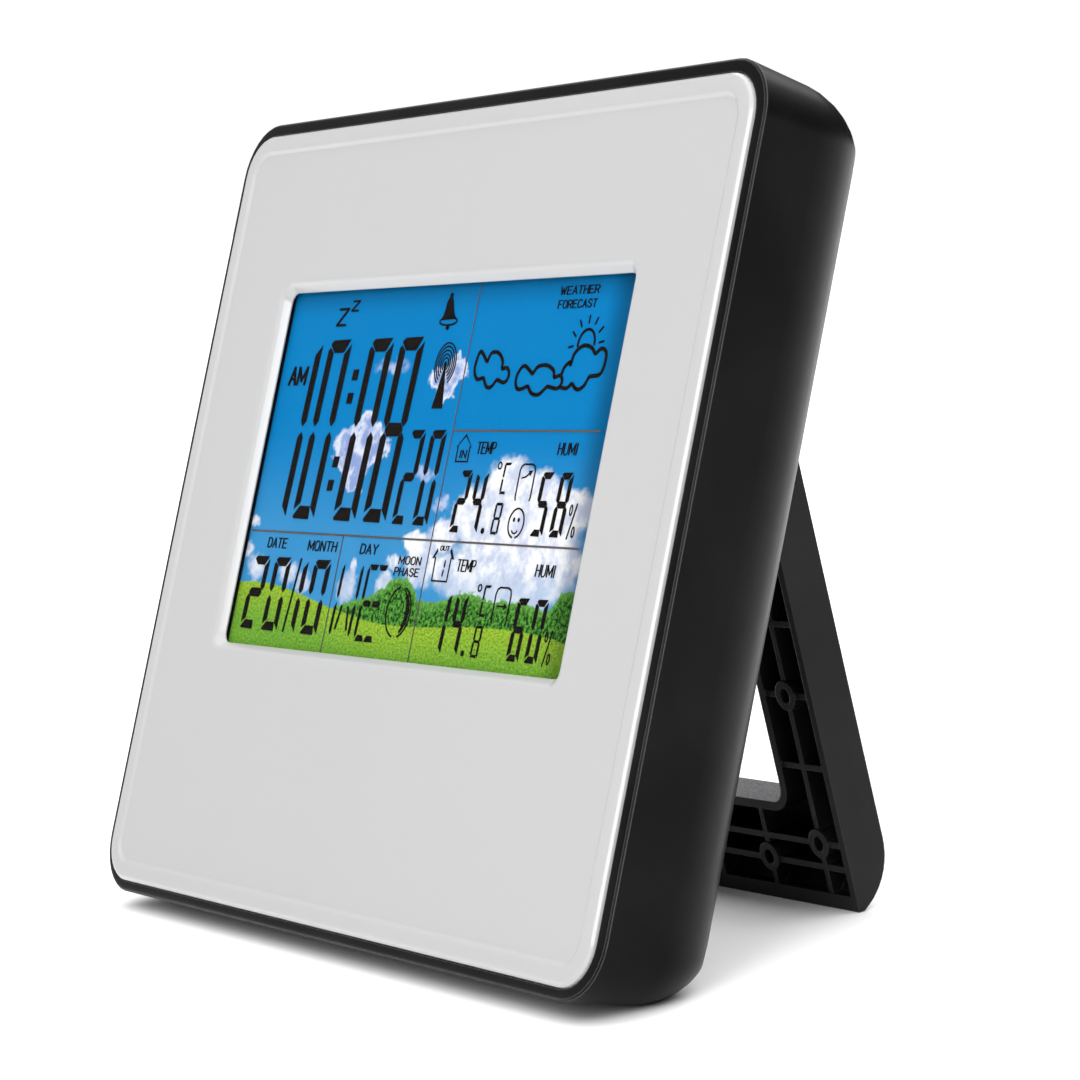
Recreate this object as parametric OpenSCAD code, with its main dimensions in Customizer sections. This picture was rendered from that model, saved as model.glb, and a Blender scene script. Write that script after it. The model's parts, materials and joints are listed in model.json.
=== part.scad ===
// Desk-top home weather station: LCD panel, rounded case and fold-out stand.
// Every piece is drawn in the frame of the face (X right, Y back, Z up the face), as if the
// face stood upright, and on_table() then leans it back on its case edge and stand.

/* [Front panel] */
// Width of the white panel
panel_w = 150; // [140:1:160]
// Height of the white panel up the face
panel_h = 128.75; // [126:0.25:134]
// Corner radius of the white panel
panel_r = 7; // [5:0.5:8]
// Width of the raised rim round the panel
rim_w = 3.2; // [2.8:0.1:6]
// How far the rim stands in front of the panel's edge plane
rim_proud = 0.6; // [0.4:0.01:0.8]

/* [Display window] */
// Width of the visible display
window_w = 104; // [96:1:105]
// Height of the visible display
window_h = 59.1; // [54:0.1:60]
// Height of the window's centre up the face
window_z = 71.45; // [70:0.05:72]
// Width of the bevel round the window
bevel_w = 2; // [1.5:0.1:2.2]

/* [Case] */
// Depth of the case behind its front edge
case_depth = 24.9; // [24.5:0.1:27]
// Corner radius of the case at the front
case_r = 9.1; // [8.5:0.1:10]
// Radius of the round edge at the back of the case
back_round = 14.5; // [13.5:0.1:15]
// How far each side draws in from front to back
draft = 2.25; // [1.5:0.05:2.5]

/* [Stand] */
// Angle between the open stand and the back of the case
open_angle = 28.5; // [20:0.1:34]
// Width of the stand
stand_w = 98; // [90:1:98]
// Length of the stand from hinge axis to foot
leg_len = 93.75; // [92:0.25:95]
// Thickness of the stand
leg_t = 7.1; // [6.5:0.1:7.1]

/* [Rear keys] */
// Length of a rear key
key_w = 8; // [6:0.5:9]
// Height of a rear key
key_h = 5; // [4:0.5:5.5]
// How far the rear keys stand proud of the case
key_proud = 0.9; // [0.8:0.1:1.2]

/* [Hidden] */

$fn = 48;
gap = 0.1; // still pieces that sit in each other
loose = 0.3; // pieces that move past each other
over = 1; // how far a cut runs past the face it opens
corner_n = 8; // facets in a quarter of a lofted corner
back_n = 10; // facets across the round back edge

// Case outline, seen from the front
side_margin = 2.2;
low_margin = 1.8;
top_margin = 2.25;
case_hw = panel_w / 2 + side_margin;
case_lo = -low_margin;
case_hi = panel_h + top_margin;
case_front = 0.2;
case_back = case_front + case_depth;
edge_round = 0.8;
corner_min = 3;
wall = 2.6;
back_wall = 2.1;
cave_back = case_back - back_wall;

// Front panel section
panel_back = 1.5;
rim_round = 1;
rim_step = 0.45;
rim_slope_w = 1; // curved slope from the rim down to the face
face_v = rim_step - rim_proud;
bevel_angle = 48;
shoulder_r = 1.6; // rounds the bevel into the face
shoulder_w = shoulder_r * sin(bevel_angle);
bevel_depth = shoulder_r * (1 - cos(bevel_angle)) + (bevel_w - shoulder_w) * tan(bevel_angle);
window_r = 1.8;
pocket_back = panel_back + gap;

// Display stack, front to back
lens_t = 0.5;
lens_v = panel_back + 0.05;
glass_v = lens_v + lens_t + 0.25;
glass_t = 1.9;
film_v = glass_v + glass_t + 0.05;
film_t = 0.2;
guide_v = film_v + film_t + 0.05;
guide_t = 2.5;
sheet_v = guide_v + guide_t + 0.05;
sheet_t = 0.2;
stack_hw = window_w / 2 + 4;
stack_lo = window_z - window_h / 2 - 3;
stack_hi = window_z + window_h / 2 + 3;
ledge_h = 3; // strip of the rear glass that carries the contacts
holder_hw = 62;
holder_lo = stack_lo - 3;
holder_hi = stack_hi + ledge_h + 1.5;
holder_in = sheet_v + sheet_t + 0.05;
holder_back = holder_in + 0.8;
ear_x = 66;
ear_z = [50, 93];
ear_v = 6;
ear_t = 1.4;

// Boards
board_v = 9.4;
board_t = 1.2;
board_hw = 61;
board_lo = 63;
board_hi = 123;
board_back = board_v + board_t;
board_hole_x = 58.9;
board_hole_z = [67, 103];
key_board_v = 14.8;
key_board_t = 1.2;
screw_r = 1; // small board screws
screw_hole_r = 1.05;
boss_r = 2.4;

// Stand and its trough
axis_z = 102;
axis_v = 21.5;
leg_front = case_back - leg_t;
axis_n = axis_v - leg_front;
barrel_r = axis_n;
leg_hw = stand_w / 2;
leg_wall = 1.4;
rib = 1;
rib_top = leg_front + 0.35; // the ribs stop just below the rings and side walls
ring_r = 2.35;
ring_bore_r = 1.15;
ring_deep = 3;
skin_t = 1.5;
foot_bar = 2.3; // solid strip along the foot
foot_round = 10.5;
foot_flat = 1.1; // flat at the foot's front edge before the rounding starts
hole_hw = 35.5; // opening through the stand
hole_lo = 16;
hole_hi = 76;
hole_r = 2.8;
pin_r = 1.5;
pin_hole_r = 1.55;
pin_len = 2.2;
heel_x0 = 12; // two heels above the axis stop the stand when it is open
heel_x1 = 30;
heel_len = 6;
heel_n = leg_t - axis_n;
trough_hw = leg_hw + 0.6;
trough_lo = axis_z - leg_len - 0.8;
trough_v = leg_front - loose;
trough_wall = 1.6;
island_hw = hole_hw - 0.6;
island_lo = axis_z - leg_len + hole_lo + 0.6;
island_hi = axis_z - leg_len + hole_hi - 0.6;

// Battery bay in the island
cell_r = 7.2;
cell_len = 49.5;
cell_gap = 0.4;
bay_hw = 28.6;
plate_t = 0.4;
bay_lo = island_lo + 3.4;
bay_hi = bay_lo + 2 * (2 * cell_r) + 3 * cell_gap;
bay_v = 9;
bay_floor = 0.9;
bay_wall = 1.4;
door_t = 1.4;
door_hw = 32;
door_lo = bay_lo - 1.7;
door_hi = bay_hi + 1.9;
door_hinge_z = door_lo + door_t / 2;
door_hinge_v = case_back - door_t / 2;
cell_v = case_back - door_t - 0.2 - cell_r;
cell_shift = bay_hw - 0.1 - plate_t - 0.05 - cell_len / 2;
cell_z = [bay_lo + cell_gap + cell_r, bay_lo + 2 * cell_gap + 3 * cell_r];

// Keys
key_x = [-20, 0, 20];
key_z = [66.8, 76.8];
key_mid = (key_z[0] + key_z[1]) / 2;
key_post_x = [-29, 29];
key_gap = 0.3;
key_travel = 0.8;
key_flange = 1.3;
flange_back = cave_back - gap;
switch_h = 3.2;
key_end = key_board_v + key_board_t + switch_h + 0.6 + key_travel + 0.15;

// Snooze bar
bar_hw = 23.7;
bar_v0 = 6.5;
bar_v1 = 13;
bar_top = case_hi + 0.2;
bar_flange_z = case_hi - wall - 3.3;
bar_flange_t = 1.2;

// Screws between case and panel
post_x = 64;
post_z = [20, 112];
post_r = 3.2;
post_hole_r = 1.5;
post_end = 8;
tower_r = 4.6;
tower_hole_r = 1.7;
well_r = 3.3;
well_v = 11;

// Keyhole to hang the station on a wall
keyhole_z = 112.4;
keyhole_r = 3.5;
keyhole_slot_r = 1.8;
keyhole_rise = 6.2;
keyhole_pad_v = 24.2;
keyhole_wall = 2;
pad_hw = 7;

// Vents and sound holes
vent_x = -56;
vent_z = [32, 36, 40, 44, 48];
vent_hw = 3.2;
sound_x = -42;
sound_z = 111.6;

// Ferrite rod
rod_r = 4;
rod_len = 60;
rod_z = 14;
rod_v = 9.7;

// Colours
white = [0.86, 0.86, 0.87];
black = [0.05, 0.05, 0.055];
board_green = [0.05, 0.32, 0.16];
steel = [0.72, 0.72, 0.74];
copper = [0.78, 0.45, 0.2];

// ---------- leaning on the table ----------
// Points that may touch the table, as [up the face, back from the face]
low_edge = [for (i = [0:back_n]) [case_lo + case_inset(90 * i / back_n), case_v(90 * i / back_n)]];
foot_tip = [
  axis_z - leg_len * cos(open_angle) - axis_n * sin(open_angle),
  axis_v + leg_len * sin(open_angle) - axis_n * cos(open_angle)
];
function height_of(p, a) = p[0] * cos(a) - p[1] * sin(a);
function depth_of(p, a) = p[0] * sin(a) + p[1] * cos(a);
function edge_low(a) = min([for (p = low_edge) height_of(p, a)]);
function settle(lo, hi, n) =
  n == 0 ? (lo + hi) / 2
  : edge_low((lo + hi) / 2) < height_of(foot_tip, (lo + hi) / 2) ? settle((lo + hi) / 2, hi, n - 1)
  : settle(lo, (lo + hi) / 2, n - 1);
tilt = settle(5, 40, 30);
drop = edge_low(tilt);

// Depth of the stand's back face at height s above the foot, which is rounded up to foot_side
foot_side = sqrt(pow(foot_round, 2) - pow(foot_round - leg_t + foot_flat, 2));
foot_steps = 8;
function foot_profile(s) =
  s < foot_side ? leg_t - foot_round + sqrt(pow(foot_round, 2) - pow(foot_side - s, 2)) : leg_t;
foot_outline = [
  for (i = [0:foot_steps]) let (s = foot_side * i / foot_steps) [s, foot_profile(s)]
];

// Farthest points of the stand and of the front edges fix the middle of the depth
function leg_point(s, n) = [
  axis_z - (leg_len - s) * cos(open_angle) + (n - axis_n) * sin(open_angle),
  axis_v + (leg_len - s) * sin(open_angle) + (n - axis_n) * cos(open_angle)
];
back_most = max([for (p = foot_outline) depth_of(leg_point(p[0], p[1]), tilt)]);
front_edges = concat(
  [for (t = [0:30:90]) [rim_round * (1 - cos(t)), -rim_proud + rim_round * (1 - sin(t))]],
  [for (t = [0, 30, 60]) [case_lo + edge_round * (1 - sin(t)), case_front + edge_round * (1 - cos(t))]]
);
front_most = min([for (p = front_edges) depth_of(p, tilt)]);
middle = (back_most + front_most) / 2;

module on_table() {
  translate([0, -middle, -drop]) rotate([-tilt, 0, 0]) children();
}

// ---------- shared shapes ----------
function arc(cx, cz, r, from, n) =
  [for (i = [0:n]) [cx + r * cos(from + 90 * i / n), cz + r * sin(from + 90 * i / n)]];
function round_rect(hw, lo, hi, r, n) = concat(
  arc(hw - r, lo + r, r, -90, n), arc(hw - r, hi - r, r, 0, n),
  arc(r - hw, hi - r, r, 90, n), arc(r - hw, lo + r, r, 180, n)
);
function ring(hw, lo, hi, r, v, n = corner_n) = [for (p = round_rect(hw, lo, hi, r, n)) [p[0], v, p[1]]];

// Skin through rings of equal point counts, from front to back; closed joins the last to the first
module loft(rings, closed = false) {
  m = len(rings[0]);
  k = len(rings);
  sides = [
    for (j = [0:closed ? k - 1 : k - 2], i = [0:m - 1])
      [j * m + i, j * m + (i + 1) % m, ((j + 1) % k) * m + (i + 1) % m, ((j + 1) % k) * m + i]
  ];
  caps = closed ? [] : [[for (i = [m - 1:-1:0]) i], [for (i = [0:m - 1]) (k - 1) * m + i]];
  polyhedron([for (r = rings) each r], concat(sides, caps), convexity = 6);
}

// Box between two corners given as [x, v, z]
module block(a, b) {
  translate(a) cube(b - a);
}

// Cylinder along the depth, from v0 to v1
module rod_back(x, z, v0, v1, r) {
  translate([x, v0, z]) rotate([-90, 0, 0]) cylinder(h = v1 - v0, r = r);
}

// Cylinder across the width, from x0 to x1
module rod_across(v, z, x0, x1, r) {
  translate([x0, v, z]) rotate([0, 90, 0]) cylinder(h = x1 - x0, r = r);
}

// Cylinder up the face, from z0 to z1
module rod_up(x, v, z0, z1, r) {
  translate([x, v, z0]) cylinder(h = z1 - z0, r = r);
}

// Plate with round ends, long in x
module pill(x, z, w, h, v0, v1) {
  block([x - w / 2 + h / 2, v0, z - h / 2], [x + w / 2 - h / 2, v1, z + h / 2]);
  for (side = [-1, 1]) rod_back(x + side * (w / 2 - h / 2), z, v0, v1, h / 2);
}

// Plate with round corners in the face plane
module round_plate(hw, lo, hi, r, v0, v1) {
  block([-hw + r, v0, lo], [hw - r, v1, hi]);
  block([-hw, v0, lo + r], [hw, v1, hi - r]);
  for (x = [r - hw, hw - r], z = [lo + r, hi - r]) rod_back(x, z, v0, v1, r);
}

// Screw that points to the front, with a flat head behind v_head
module screw(x, z, v_tip, v_head, r, head_r, head_t) {
  rod_back(x, z, v_tip, v_head + head_t / 2, r);
  difference() {
    rod_back(x, z, v_head, v_head + head_t, head_r);
    for (w = [[head_r * 0.62, head_r * 0.14], [head_r * 0.14, head_r * 0.62]])
      block([x - w[0], v_head + head_t * 0.55, z - w[1]], [x + w[0], v_head + head_t + over, z + w[1]]);
  }
}

// Tube of flat triangles swept along points that turn gently and never run straight along x
function unit(a) = a / norm(a);
function heading(path, i) = unit(path[min(i + 1, len(path) - 1)] - path[max(i - 1, 0)]);
function side_of(d) = unit(cross(d, [1, 0, 0]));
module tube(path, r, sides = 6) {
  k = len(path);
  points = [
    for (i = [0:k - 1])
      let (d = heading(path, i), a = side_of(d), b = cross(d, a))
        for (j = [0:sides - 1]) path[i] + r * (a * cos(360 * j / sides) + b * sin(360 * j / sides))
  ];
  walls = [
    for (i = [0:k - 2], j = [0:sides - 1])
      let (a = i * sides + j, b = i * sides + (j + 1) % sides)
        each [[a, a + sides, b + sides], [a, b + sides, b]]
  ];
  caps = [[for (j = [0:sides - 1]) j], [for (j = [sides - 1:-1:0]) (k - 1) * sides + j]];
  polyhedron(points, concat(walls, caps), convexity = 6);
}

// Points of a smooth route between two ends that leaves and arrives along given directions
function route(p0, d0, p1, d1, n) = [
  for (i = [0:n])
    let (t = i / n, s = 1 - t)
      p0 * (s * s * s) + (p0 + d0) * (3 * s * s * t) + (p1 - d1) * (3 * s * t * t) + p1 * (t * t * t)
];

// ---------- case ----------
// t runs round the back edge, from 0 on the side to 90 on the back face
function case_v(t) = case_back - back_round + back_round * sin(t);
function case_inset(t) = draft * (case_v(t) - case_front) / case_depth + back_round * (1 - cos(t));
function case_ring(inset, v) =
  ring(case_hw - inset, case_lo + inset, case_hi - inset, max(case_r - inset, corner_min), v);

module case_outer() {
  loft(concat(
    [for (t = [0, 30, 60]) case_ring(edge_round * (1 - sin(t)), case_front + edge_round * (1 - cos(t)))],
    [for (i = [0:back_n]) case_ring(case_inset(90 * i / back_n), case_v(90 * i / back_n))]
  ));
}

// Hollow of the case behind the panel's seat
module case_hollow() {
  cave_round = back_round - back_wall;
  function cave_ring(inset, v) = ring(
    case_hw - wall - inset, case_lo + wall + inset, case_hi - wall - inset,
    max(case_r - wall - inset, corner_min), v, 4
  );
  loft(concat(
    [cave_ring(0, case_front - over)],
    [
      for (t = [0:22.5:90])
        let (v = cave_back - cave_round + cave_round * sin(t))
          cave_ring(draft * (v - case_front) / case_depth + cave_round * (1 - cos(t)), v)
    ]
  ));
}

// Space that the stand fills when folded, and sweeps when it turns
module trough() {
  difference() {
    block([-trough_hw, trough_v, trough_lo], [trough_hw, case_back + over, axis_z]);
    round_plate(island_hw, island_lo, island_hi, hole_r, trough_v - over, case_back + 2 * over);
  }
  rod_across(axis_v, axis_z, -trough_hw, trough_hw, barrel_r + loose);
  block([-trough_hw, axis_v, axis_z - over], [trough_hw, case_back + over, axis_z + barrel_r + loose]);
  block([-9, trough_v, trough_lo - 2.4], [9, case_back + over, trough_lo + over]);
  for (side = [-1, 1]) heel_sweep(side * (heel_x0 + heel_x1) / 2, (heel_x1 - heel_x0) / 2 + loose);
}

// Round space above the axis, cut off by the ramp that the open heel rests on
module heel_sweep(x, hw) {
  sweep_r = norm([heel_len, heel_n]) + loose;
  far = sweep_r * 2;
  difference() {
    rod_across(axis_v, axis_z, x - hw, x + hw, sweep_r);
    translate([x, axis_v, axis_z]) {
      rotate([open_angle, 0, 0]) block([-hw - over, -far - gap, -far], [hw + over, -gap, far]);
      block([-hw - over, -far, -far], [hw + over, far, 0]);
    }
  }
}

// Material left standing inside the hollow
module case_inner() {
  difference() {
    block([-trough_hw - trough_wall, trough_v - trough_wall, trough_lo - 3.6],
      [trough_hw + trough_wall, case_back + over, axis_z + barrel_r + loose + trough_wall]);
    block([-island_hw + trough_wall, trough_v - trough_wall - over, bay_hi + bay_wall + 1.2],
      [island_hw - trough_wall, cave_back, island_hi - trough_wall]);
  }
  for (side = [-1, 1]) {
    rod_across(axis_v, axis_z, side * (trough_hw + 1.8) - 2, side * (trough_hw + 1.8) + 2, barrel_r + 0.4);
    rod_across(axis_v, axis_z, side * (heel_x0 + heel_x1) / 2 - 11, side * (heel_x0 + heel_x1) / 2 + 11, 8.9);
  }
  block([-bay_hw - bay_wall, bay_v - bay_floor, bay_lo - bay_wall],
    [bay_hw + bay_wall, case_back + over, bay_hi + bay_wall]);
  for (x = [-post_x, post_x], z = post_z) rod_back(x, z, post_end + gap, case_back + over, tower_r);
  for (x = key_post_x) rod_back(x, key_mid, key_board_v + key_board_t, case_back + over, boss_r);
  block([-pad_hw - 1.6, keyhole_pad_v - keyhole_wall, keyhole_z - 4.6],
    [pad_hw + 1.6, case_back + over, keyhole_z + keyhole_rise + 3.4]);
  for (z = [vent_z[0] - 4.5, vent_z[4] + 4.5]) {
    rod_back(vent_x, z, 20.55, case_back + over, 1.6);
    rod_back(vent_x, z, 19, case_back, 0.75);
  }
}

module rear_case() {
  color(black) on_table() difference() {
    case_outer();
    loft([
      for (v = [case_front - over, pocket_back])
        ring(panel_w / 2 + gap, -gap, panel_h + gap, panel_r + gap, v)
    ]);
    difference() {
      case_hollow();
      case_inner();
    }
    trough();
    rod_across(axis_v, axis_z, -trough_hw - pin_len + 0.2, trough_hw + pin_len - 0.2, pin_hole_r);
    block([-bay_hw, bay_v, bay_lo], [bay_hw, case_back + over, bay_hi]);
    block([-door_hw - loose, case_back - door_t - gap, door_lo - loose],
      [door_hw + loose, case_back + over, door_hi + loose]);
    for (x = [-post_x, post_x], z = post_z) {
      rod_back(x, z, post_end - over, well_v + over, tower_hole_r);
      rod_back(x, z, well_v, case_back + over, well_r);
    }
    for (x = key_x, z = key_z)
      pill(x, z, key_w + 2 * key_gap, key_h + 2 * key_gap, cave_back - over, case_back + over);
    for (x = key_post_x) rod_back(x, key_mid, key_board_v, key_board_v + key_board_t + 5.4, screw_hole_r);
    block([-bar_hw - loose, bar_v0 - loose, case_hi - 6], [bar_hw + loose, bar_v1 + loose, case_hi + over]);
    keyhole();
    for (z = vent_z) pill(vent_x, z, 2 * vent_hw, 1.6, cave_back - over, case_back + over);
    rod_back(sound_x, sound_z, cave_back - over, case_back + over, 0.9);
    for (a = [0:60:300])
      rod_back(sound_x + 2.9 * cos(a), sound_z + 2.9 * sin(a), cave_back - over, case_back + over, 0.7);
    for (x = [-bay_hw + 2.5, bay_hw - 3.5])
      block([x, 12, bay_hi - over], [x + 1, 12 + 3, bay_hi + bay_wall + over]);
  }
}

// Flat pocket with a keyhole through its floor
module keyhole() {
  block([-pad_hw, keyhole_pad_v, keyhole_z - 4.4], [pad_hw, case_back + over, keyhole_z + keyhole_rise + 3]);
  rod_back(0, keyhole_z, keyhole_pad_v - keyhole_wall - over, keyhole_pad_v + over, keyhole_r);
  rod_back(0, keyhole_z + keyhole_rise, keyhole_pad_v - keyhole_wall - over, keyhole_pad_v + over,
    keyhole_slot_r);
  block([-keyhole_slot_r, keyhole_pad_v - keyhole_wall - over, keyhole_z],
    [keyhole_slot_r, keyhole_pad_v + over, keyhole_z + keyhole_rise]);
}

// ---------- front panel ----------
function panel_ring(inset, v) =
  ring(panel_w / 2 - inset, inset, panel_h - inset, max(panel_r - inset, 2), v);
function window_ring(grow, v) = ring(
  window_w / 2 + grow, window_z - window_h / 2 - grow, window_z + window_h / 2 + grow, window_r + grow / 2, v
);

module front_panel() {
  rim_v = -rim_proud;
  color(white) on_table() {
    difference() {
      union() {
        loft(concat(
          [for (t = [90:-30:0]) panel_ring(rim_round * (1 - cos(t)), rim_v + rim_round * (1 - sin(t)))],
          [panel_ring(0, panel_back), window_ring(0, panel_back), window_ring(0, face_v + bevel_depth)],
          [
            for (a = [bevel_angle:-bevel_angle / 4:0])
              window_ring(bevel_w - shoulder_r * sin(a), face_v + shoulder_r * (1 - cos(a)))
          ],
          [
            for (t = [0:0.25:1])
              panel_ring(rim_w + rim_slope_w * (0.5 - t), face_v - rim_step * (1 - cos(180 * t)) / 2)
          ]
        ), closed = true);
        for (x = [-post_x, post_x], z = post_z) rod_back(x, z, panel_back - gap, post_end, post_r);
        for (x = [-ear_x, ear_x], z = ear_z) rod_back(x, z, panel_back - gap, ear_v, boss_r);
        for (x = [-24, 24]) rod_seat(x);
      }
      for (x = [-post_x, post_x], z = post_z) rod_back(x, z, panel_back + 0.5, post_end + over, post_hole_r);
      for (x = [-ear_x, ear_x], z = ear_z) rod_back(x, z, panel_back + 0.5, ear_v + over, screw_hole_r);
    }
  }
}

// Fork on the panel's back that holds the ferrite rod
module rod_seat(x) {
  difference() {
    block([x - 3, panel_back - gap, rod_z - 6], [x + 3, rod_v + 2, rod_z + 6]);
    rod_across(rod_v, rod_z, x - 4, x + 4, rod_r + 0.05);
    block([x - 4, rod_v, rod_z - 3.6], [x + 4, rod_v + 4, rod_z + 3.6]);
  }
}

// ---------- display ----------
module display_lens() {
  color([0.9, 0.95, 1, 0.3]) on_table()
    round_plate(stack_hw, stack_lo, stack_hi, 1.5, lens_v, lens_v + lens_t);
}

module lcd_glass() {
  color([0.02, 0.45, 0.75]) on_table() {
    block([-stack_hw + 1, glass_v, stack_lo + 1], [stack_hw - 1, glass_v + glass_t / 2, stack_hi - 1]);
    block([-stack_hw + 1, glass_v + glass_t / 2, stack_lo + 1],
      [stack_hw - 1, glass_v + glass_t, stack_hi + ledge_h - 0.5]);
  }
}

module scenery_film() {
  color([0.35, 0.65, 0.2]) on_table()
    block([-stack_hw + 1.5, film_v, stack_lo + 1.5], [stack_hw - 1.5, film_v + film_t, stack_hi - 1.5]);
}

module light_guide() {
  color([0.92, 0.95, 0.95]) on_table()
    block([-stack_hw + 2.4, guide_v, stack_lo + 1.5], [stack_hw - 1.5, guide_v + guide_t, stack_hi - 1.5]);
}

module reflector_sheet() {
  color("white") on_table()
    block([-stack_hw + 1.5, sheet_v, stack_lo + 1.5], [stack_hw - 1.5, sheet_v + sheet_t, stack_hi - 1.5]);
}

module backlight_leds() {
  color([0.98, 0.95, 0.7]) on_table()
    for (z = [window_z - 18, window_z, window_z + 18])
      block([-stack_hw + 0.3, guide_v + 0.2, z - 1.9], [-stack_hw + 2.2, guide_v + guide_t - 0.2, z + 1.9]);
}

module lcd_holder() {
  color([0.12, 0.12, 0.13]) on_table() difference() {
    union() {
      block([-holder_hw, panel_back + 0.05, holder_lo], [holder_hw, holder_back, holder_hi]);
      for (side = [-1, 1], z = ear_z) {
        rod_back(side * ear_x, z, ear_v + 0.05, ear_v + ear_t, 3.2);
        block([min(side * (holder_hw - 1), side * ear_x), ear_v + 0.05, z - 3.2],
          [max(side * (holder_hw - 1), side * ear_x), ear_v + ear_t, z + 3.2]);
      }
      for (x = [-board_hole_x, board_hole_x], z = board_hole_z)
        rod_back(x, z, holder_back - gap, board_v - 0.05, boss_r);
    }
    block([-stack_hw - 0.1, panel_back - over, stack_lo - 0.1],
      [stack_hw + 0.1, holder_in, stack_hi + ledge_h]);
    block([-46.3, holder_in - over, stack_hi + 0.1], [46.3, holder_back + over, stack_hi + 2.6]);
    for (x = [-ear_x, ear_x], z = ear_z) rod_back(x, z, ear_v - over, ear_v + ear_t + over, 1.25);
    for (x = [-board_hole_x, board_hole_x], z = board_hole_z)
      rod_back(x, z, 4.2, board_v + over, screw_hole_r);
  }
}

module zebra_strip() {
  color([0.85, 0.55, 0.65]) on_table()
    block([-46, glass_v + glass_t + 0.05, stack_hi + 0.4], [46, board_v - 0.05, stack_hi + 2.2]);
}

// ---------- boards ----------
module main_board() {
  color(board_green) on_table() difference() {
    block([-board_hw, board_v, board_lo], [board_hw, board_back, board_hi]);
    for (x = [-board_hole_x, board_hole_x], z = board_hole_z)
      rod_back(x, z, board_v - over, board_back + over, 1.2);
    for (x = [-board_hw, board_hw]) rod_back(x, post_z[1], board_v - over, board_back + over, 8);
  }
}

module chip_cap() {
  color([0.03, 0.03, 0.03]) on_table() {
    rod_back(0, 92, board_back + 0.05, board_back + 1, 6.5);
    rod_back(0, 92, board_back + 0.5, board_back + 1.5, 5.4);
    rod_back(0, 92, board_back + 1, board_back + 1.8, 3.6);
  }
}

module board_parts() {
  on_table() {
    color("silver") pill(24, 92, 11, 4.4, board_back + 0.05, board_back + 3.4);
    for (z = [78, 86]) color([0.1, 0.15, 0.4]) rod_back(-24, z, board_back + 0.05, board_back + 3.6, 2.5);
    color([0.1, 0.1, 0.1]) block([36, board_back + 0.05, 80], [46, board_back + 1.7, 86]);
    for (x = [-44:4:-32]) color([0.7, 0.6, 0.45])
      block([x, board_back + 0.05, 90], [x + 2, board_back + 1, 91.3]);
  }
}

module receiver_board() {
  on_table() {
    color(board_green) block([26, board_back + 2.6, 108], [44, board_back + 3.6, 121]);
    color([0.1, 0.1, 0.1]) block([27, board_back + 0.05, 109], [43, board_back + 2.6, 111.4]);
    color("silver") block([33, board_back + 3.6, 113.6], [38, board_back + 4.8, 118]);
  }
}

module helical_antenna() {
  turns = 7;
  steps = 10;
  coil_r = 1.9;
  coil_len = 14;
  color(copper) on_table() tube([
    for (i = [0:turns * steps])
      let (a = 360 * i / steps)
        [22 - coil_len * i / (turns * steps), board_back + 4.4 + coil_r * cos(a), 115 + coil_r * sin(a)]
  ], 0.45);
}

module ferrite_rod() {
  color([0.2, 0.2, 0.21]) on_table() rod_across(rod_v, rod_z, -rod_len / 2, rod_len / 2, rod_r);
}

module antenna_coil() {
  color(copper) on_table() difference() {
    union() {
      rod_across(rod_v, rod_z, -10, 10, 5.2);
      for (x = [-11, 10]) rod_across(rod_v, rod_z, x, x + 1, 6);
    }
    rod_across(rod_v, rod_z, -12, 12, rod_r + 0.05);
  }
}

module buzzer() {
  color([0.06, 0.06, 0.06]) on_table() difference() {
    rod_back(sound_x, 114.8, board_back + 0.05, board_back + 5.2, 6);
    rod_back(sound_x, 114.8, board_back + 3, board_back + 6, 1);
  }
}

module sensor_board() {
  color(board_green) on_table() difference() {
    block([vent_x - 5, 19.5, vent_z[0] - 6.5], [vent_x + 3.6, 20.5, vent_z[4] + 6.5]);
    for (z = [vent_z[0] - 4.5, vent_z[4] + 4.5]) rod_back(vent_x, z, 19, 21, 0.8);
  }
}

module humidity_sensor() {
  color([0.9, 0.9, 0.88]) on_table() block([vent_x - 1.6, 20.55, 38], [vent_x + 1.6, 21.9, 42]);
}

// ---------- power ----------
// dir is the side that the cell's positive end points to
module battery_cell(z, dir) {
  nub_len = 1.4;
  nub_r = 2.7;
  flat_end = cell_shift - cell_len / 2;
  shoulder = cell_shift + cell_len / 2 - nub_len;
  color([0.75, 0.5, 0.15]) on_table() translate([0, cell_v, z]) rotate([0, dir * 90, 0]) {
    translate([0, 0, flat_end]) cylinder(h = cell_len - nub_len, r = cell_r);
    translate([0, 0, shoulder - gap]) cylinder(h = nub_len + gap, r = nub_r);
  }
}

module battery_cell_1() {
  battery_cell(cell_z[0], 1);
}

module battery_cell_2() {
  battery_cell(cell_z[1], -1);
}

module battery_springs() {
  turns = 5;
  steps = 10;
  wire_r = 0.4;
  outer_x = bay_hw - 0.1 - plate_t - wire_r;
  inner_x = cell_len / 2 - cell_shift + wire_r + 0.05;
  color(steel) on_table() for (end = [[-1, cell_z[0]], [1, cell_z[1]]])
    tube([
      for (i = [0:turns * steps])
        let (t = i / (turns * steps), r = 4.4 - 1.8 * t, a = 360 * i / steps)
          [end[0] * (outer_x + (inner_x - outer_x) * t), cell_v + r * cos(a), end[1] + r * sin(a)]
    ], wire_r);
}

module contact_plates() {
  outer_x = bay_hw - 0.05;
  color(steel) on_table() {
    for (z = cell_z) {
      block([-outer_x, cell_v - 5, z - 5], [plate_t - outer_x, cell_v + 5, z + 5]);
      block([outer_x - plate_t, cell_v - 5, z - 5], [outer_x, cell_v + 5, z + 5]);
    }
    block([outer_x - plate_t, cell_v - 2, cell_z[0] + 4], [outer_x, cell_v + 2, cell_z[1] - 4]);
  }
}

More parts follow.
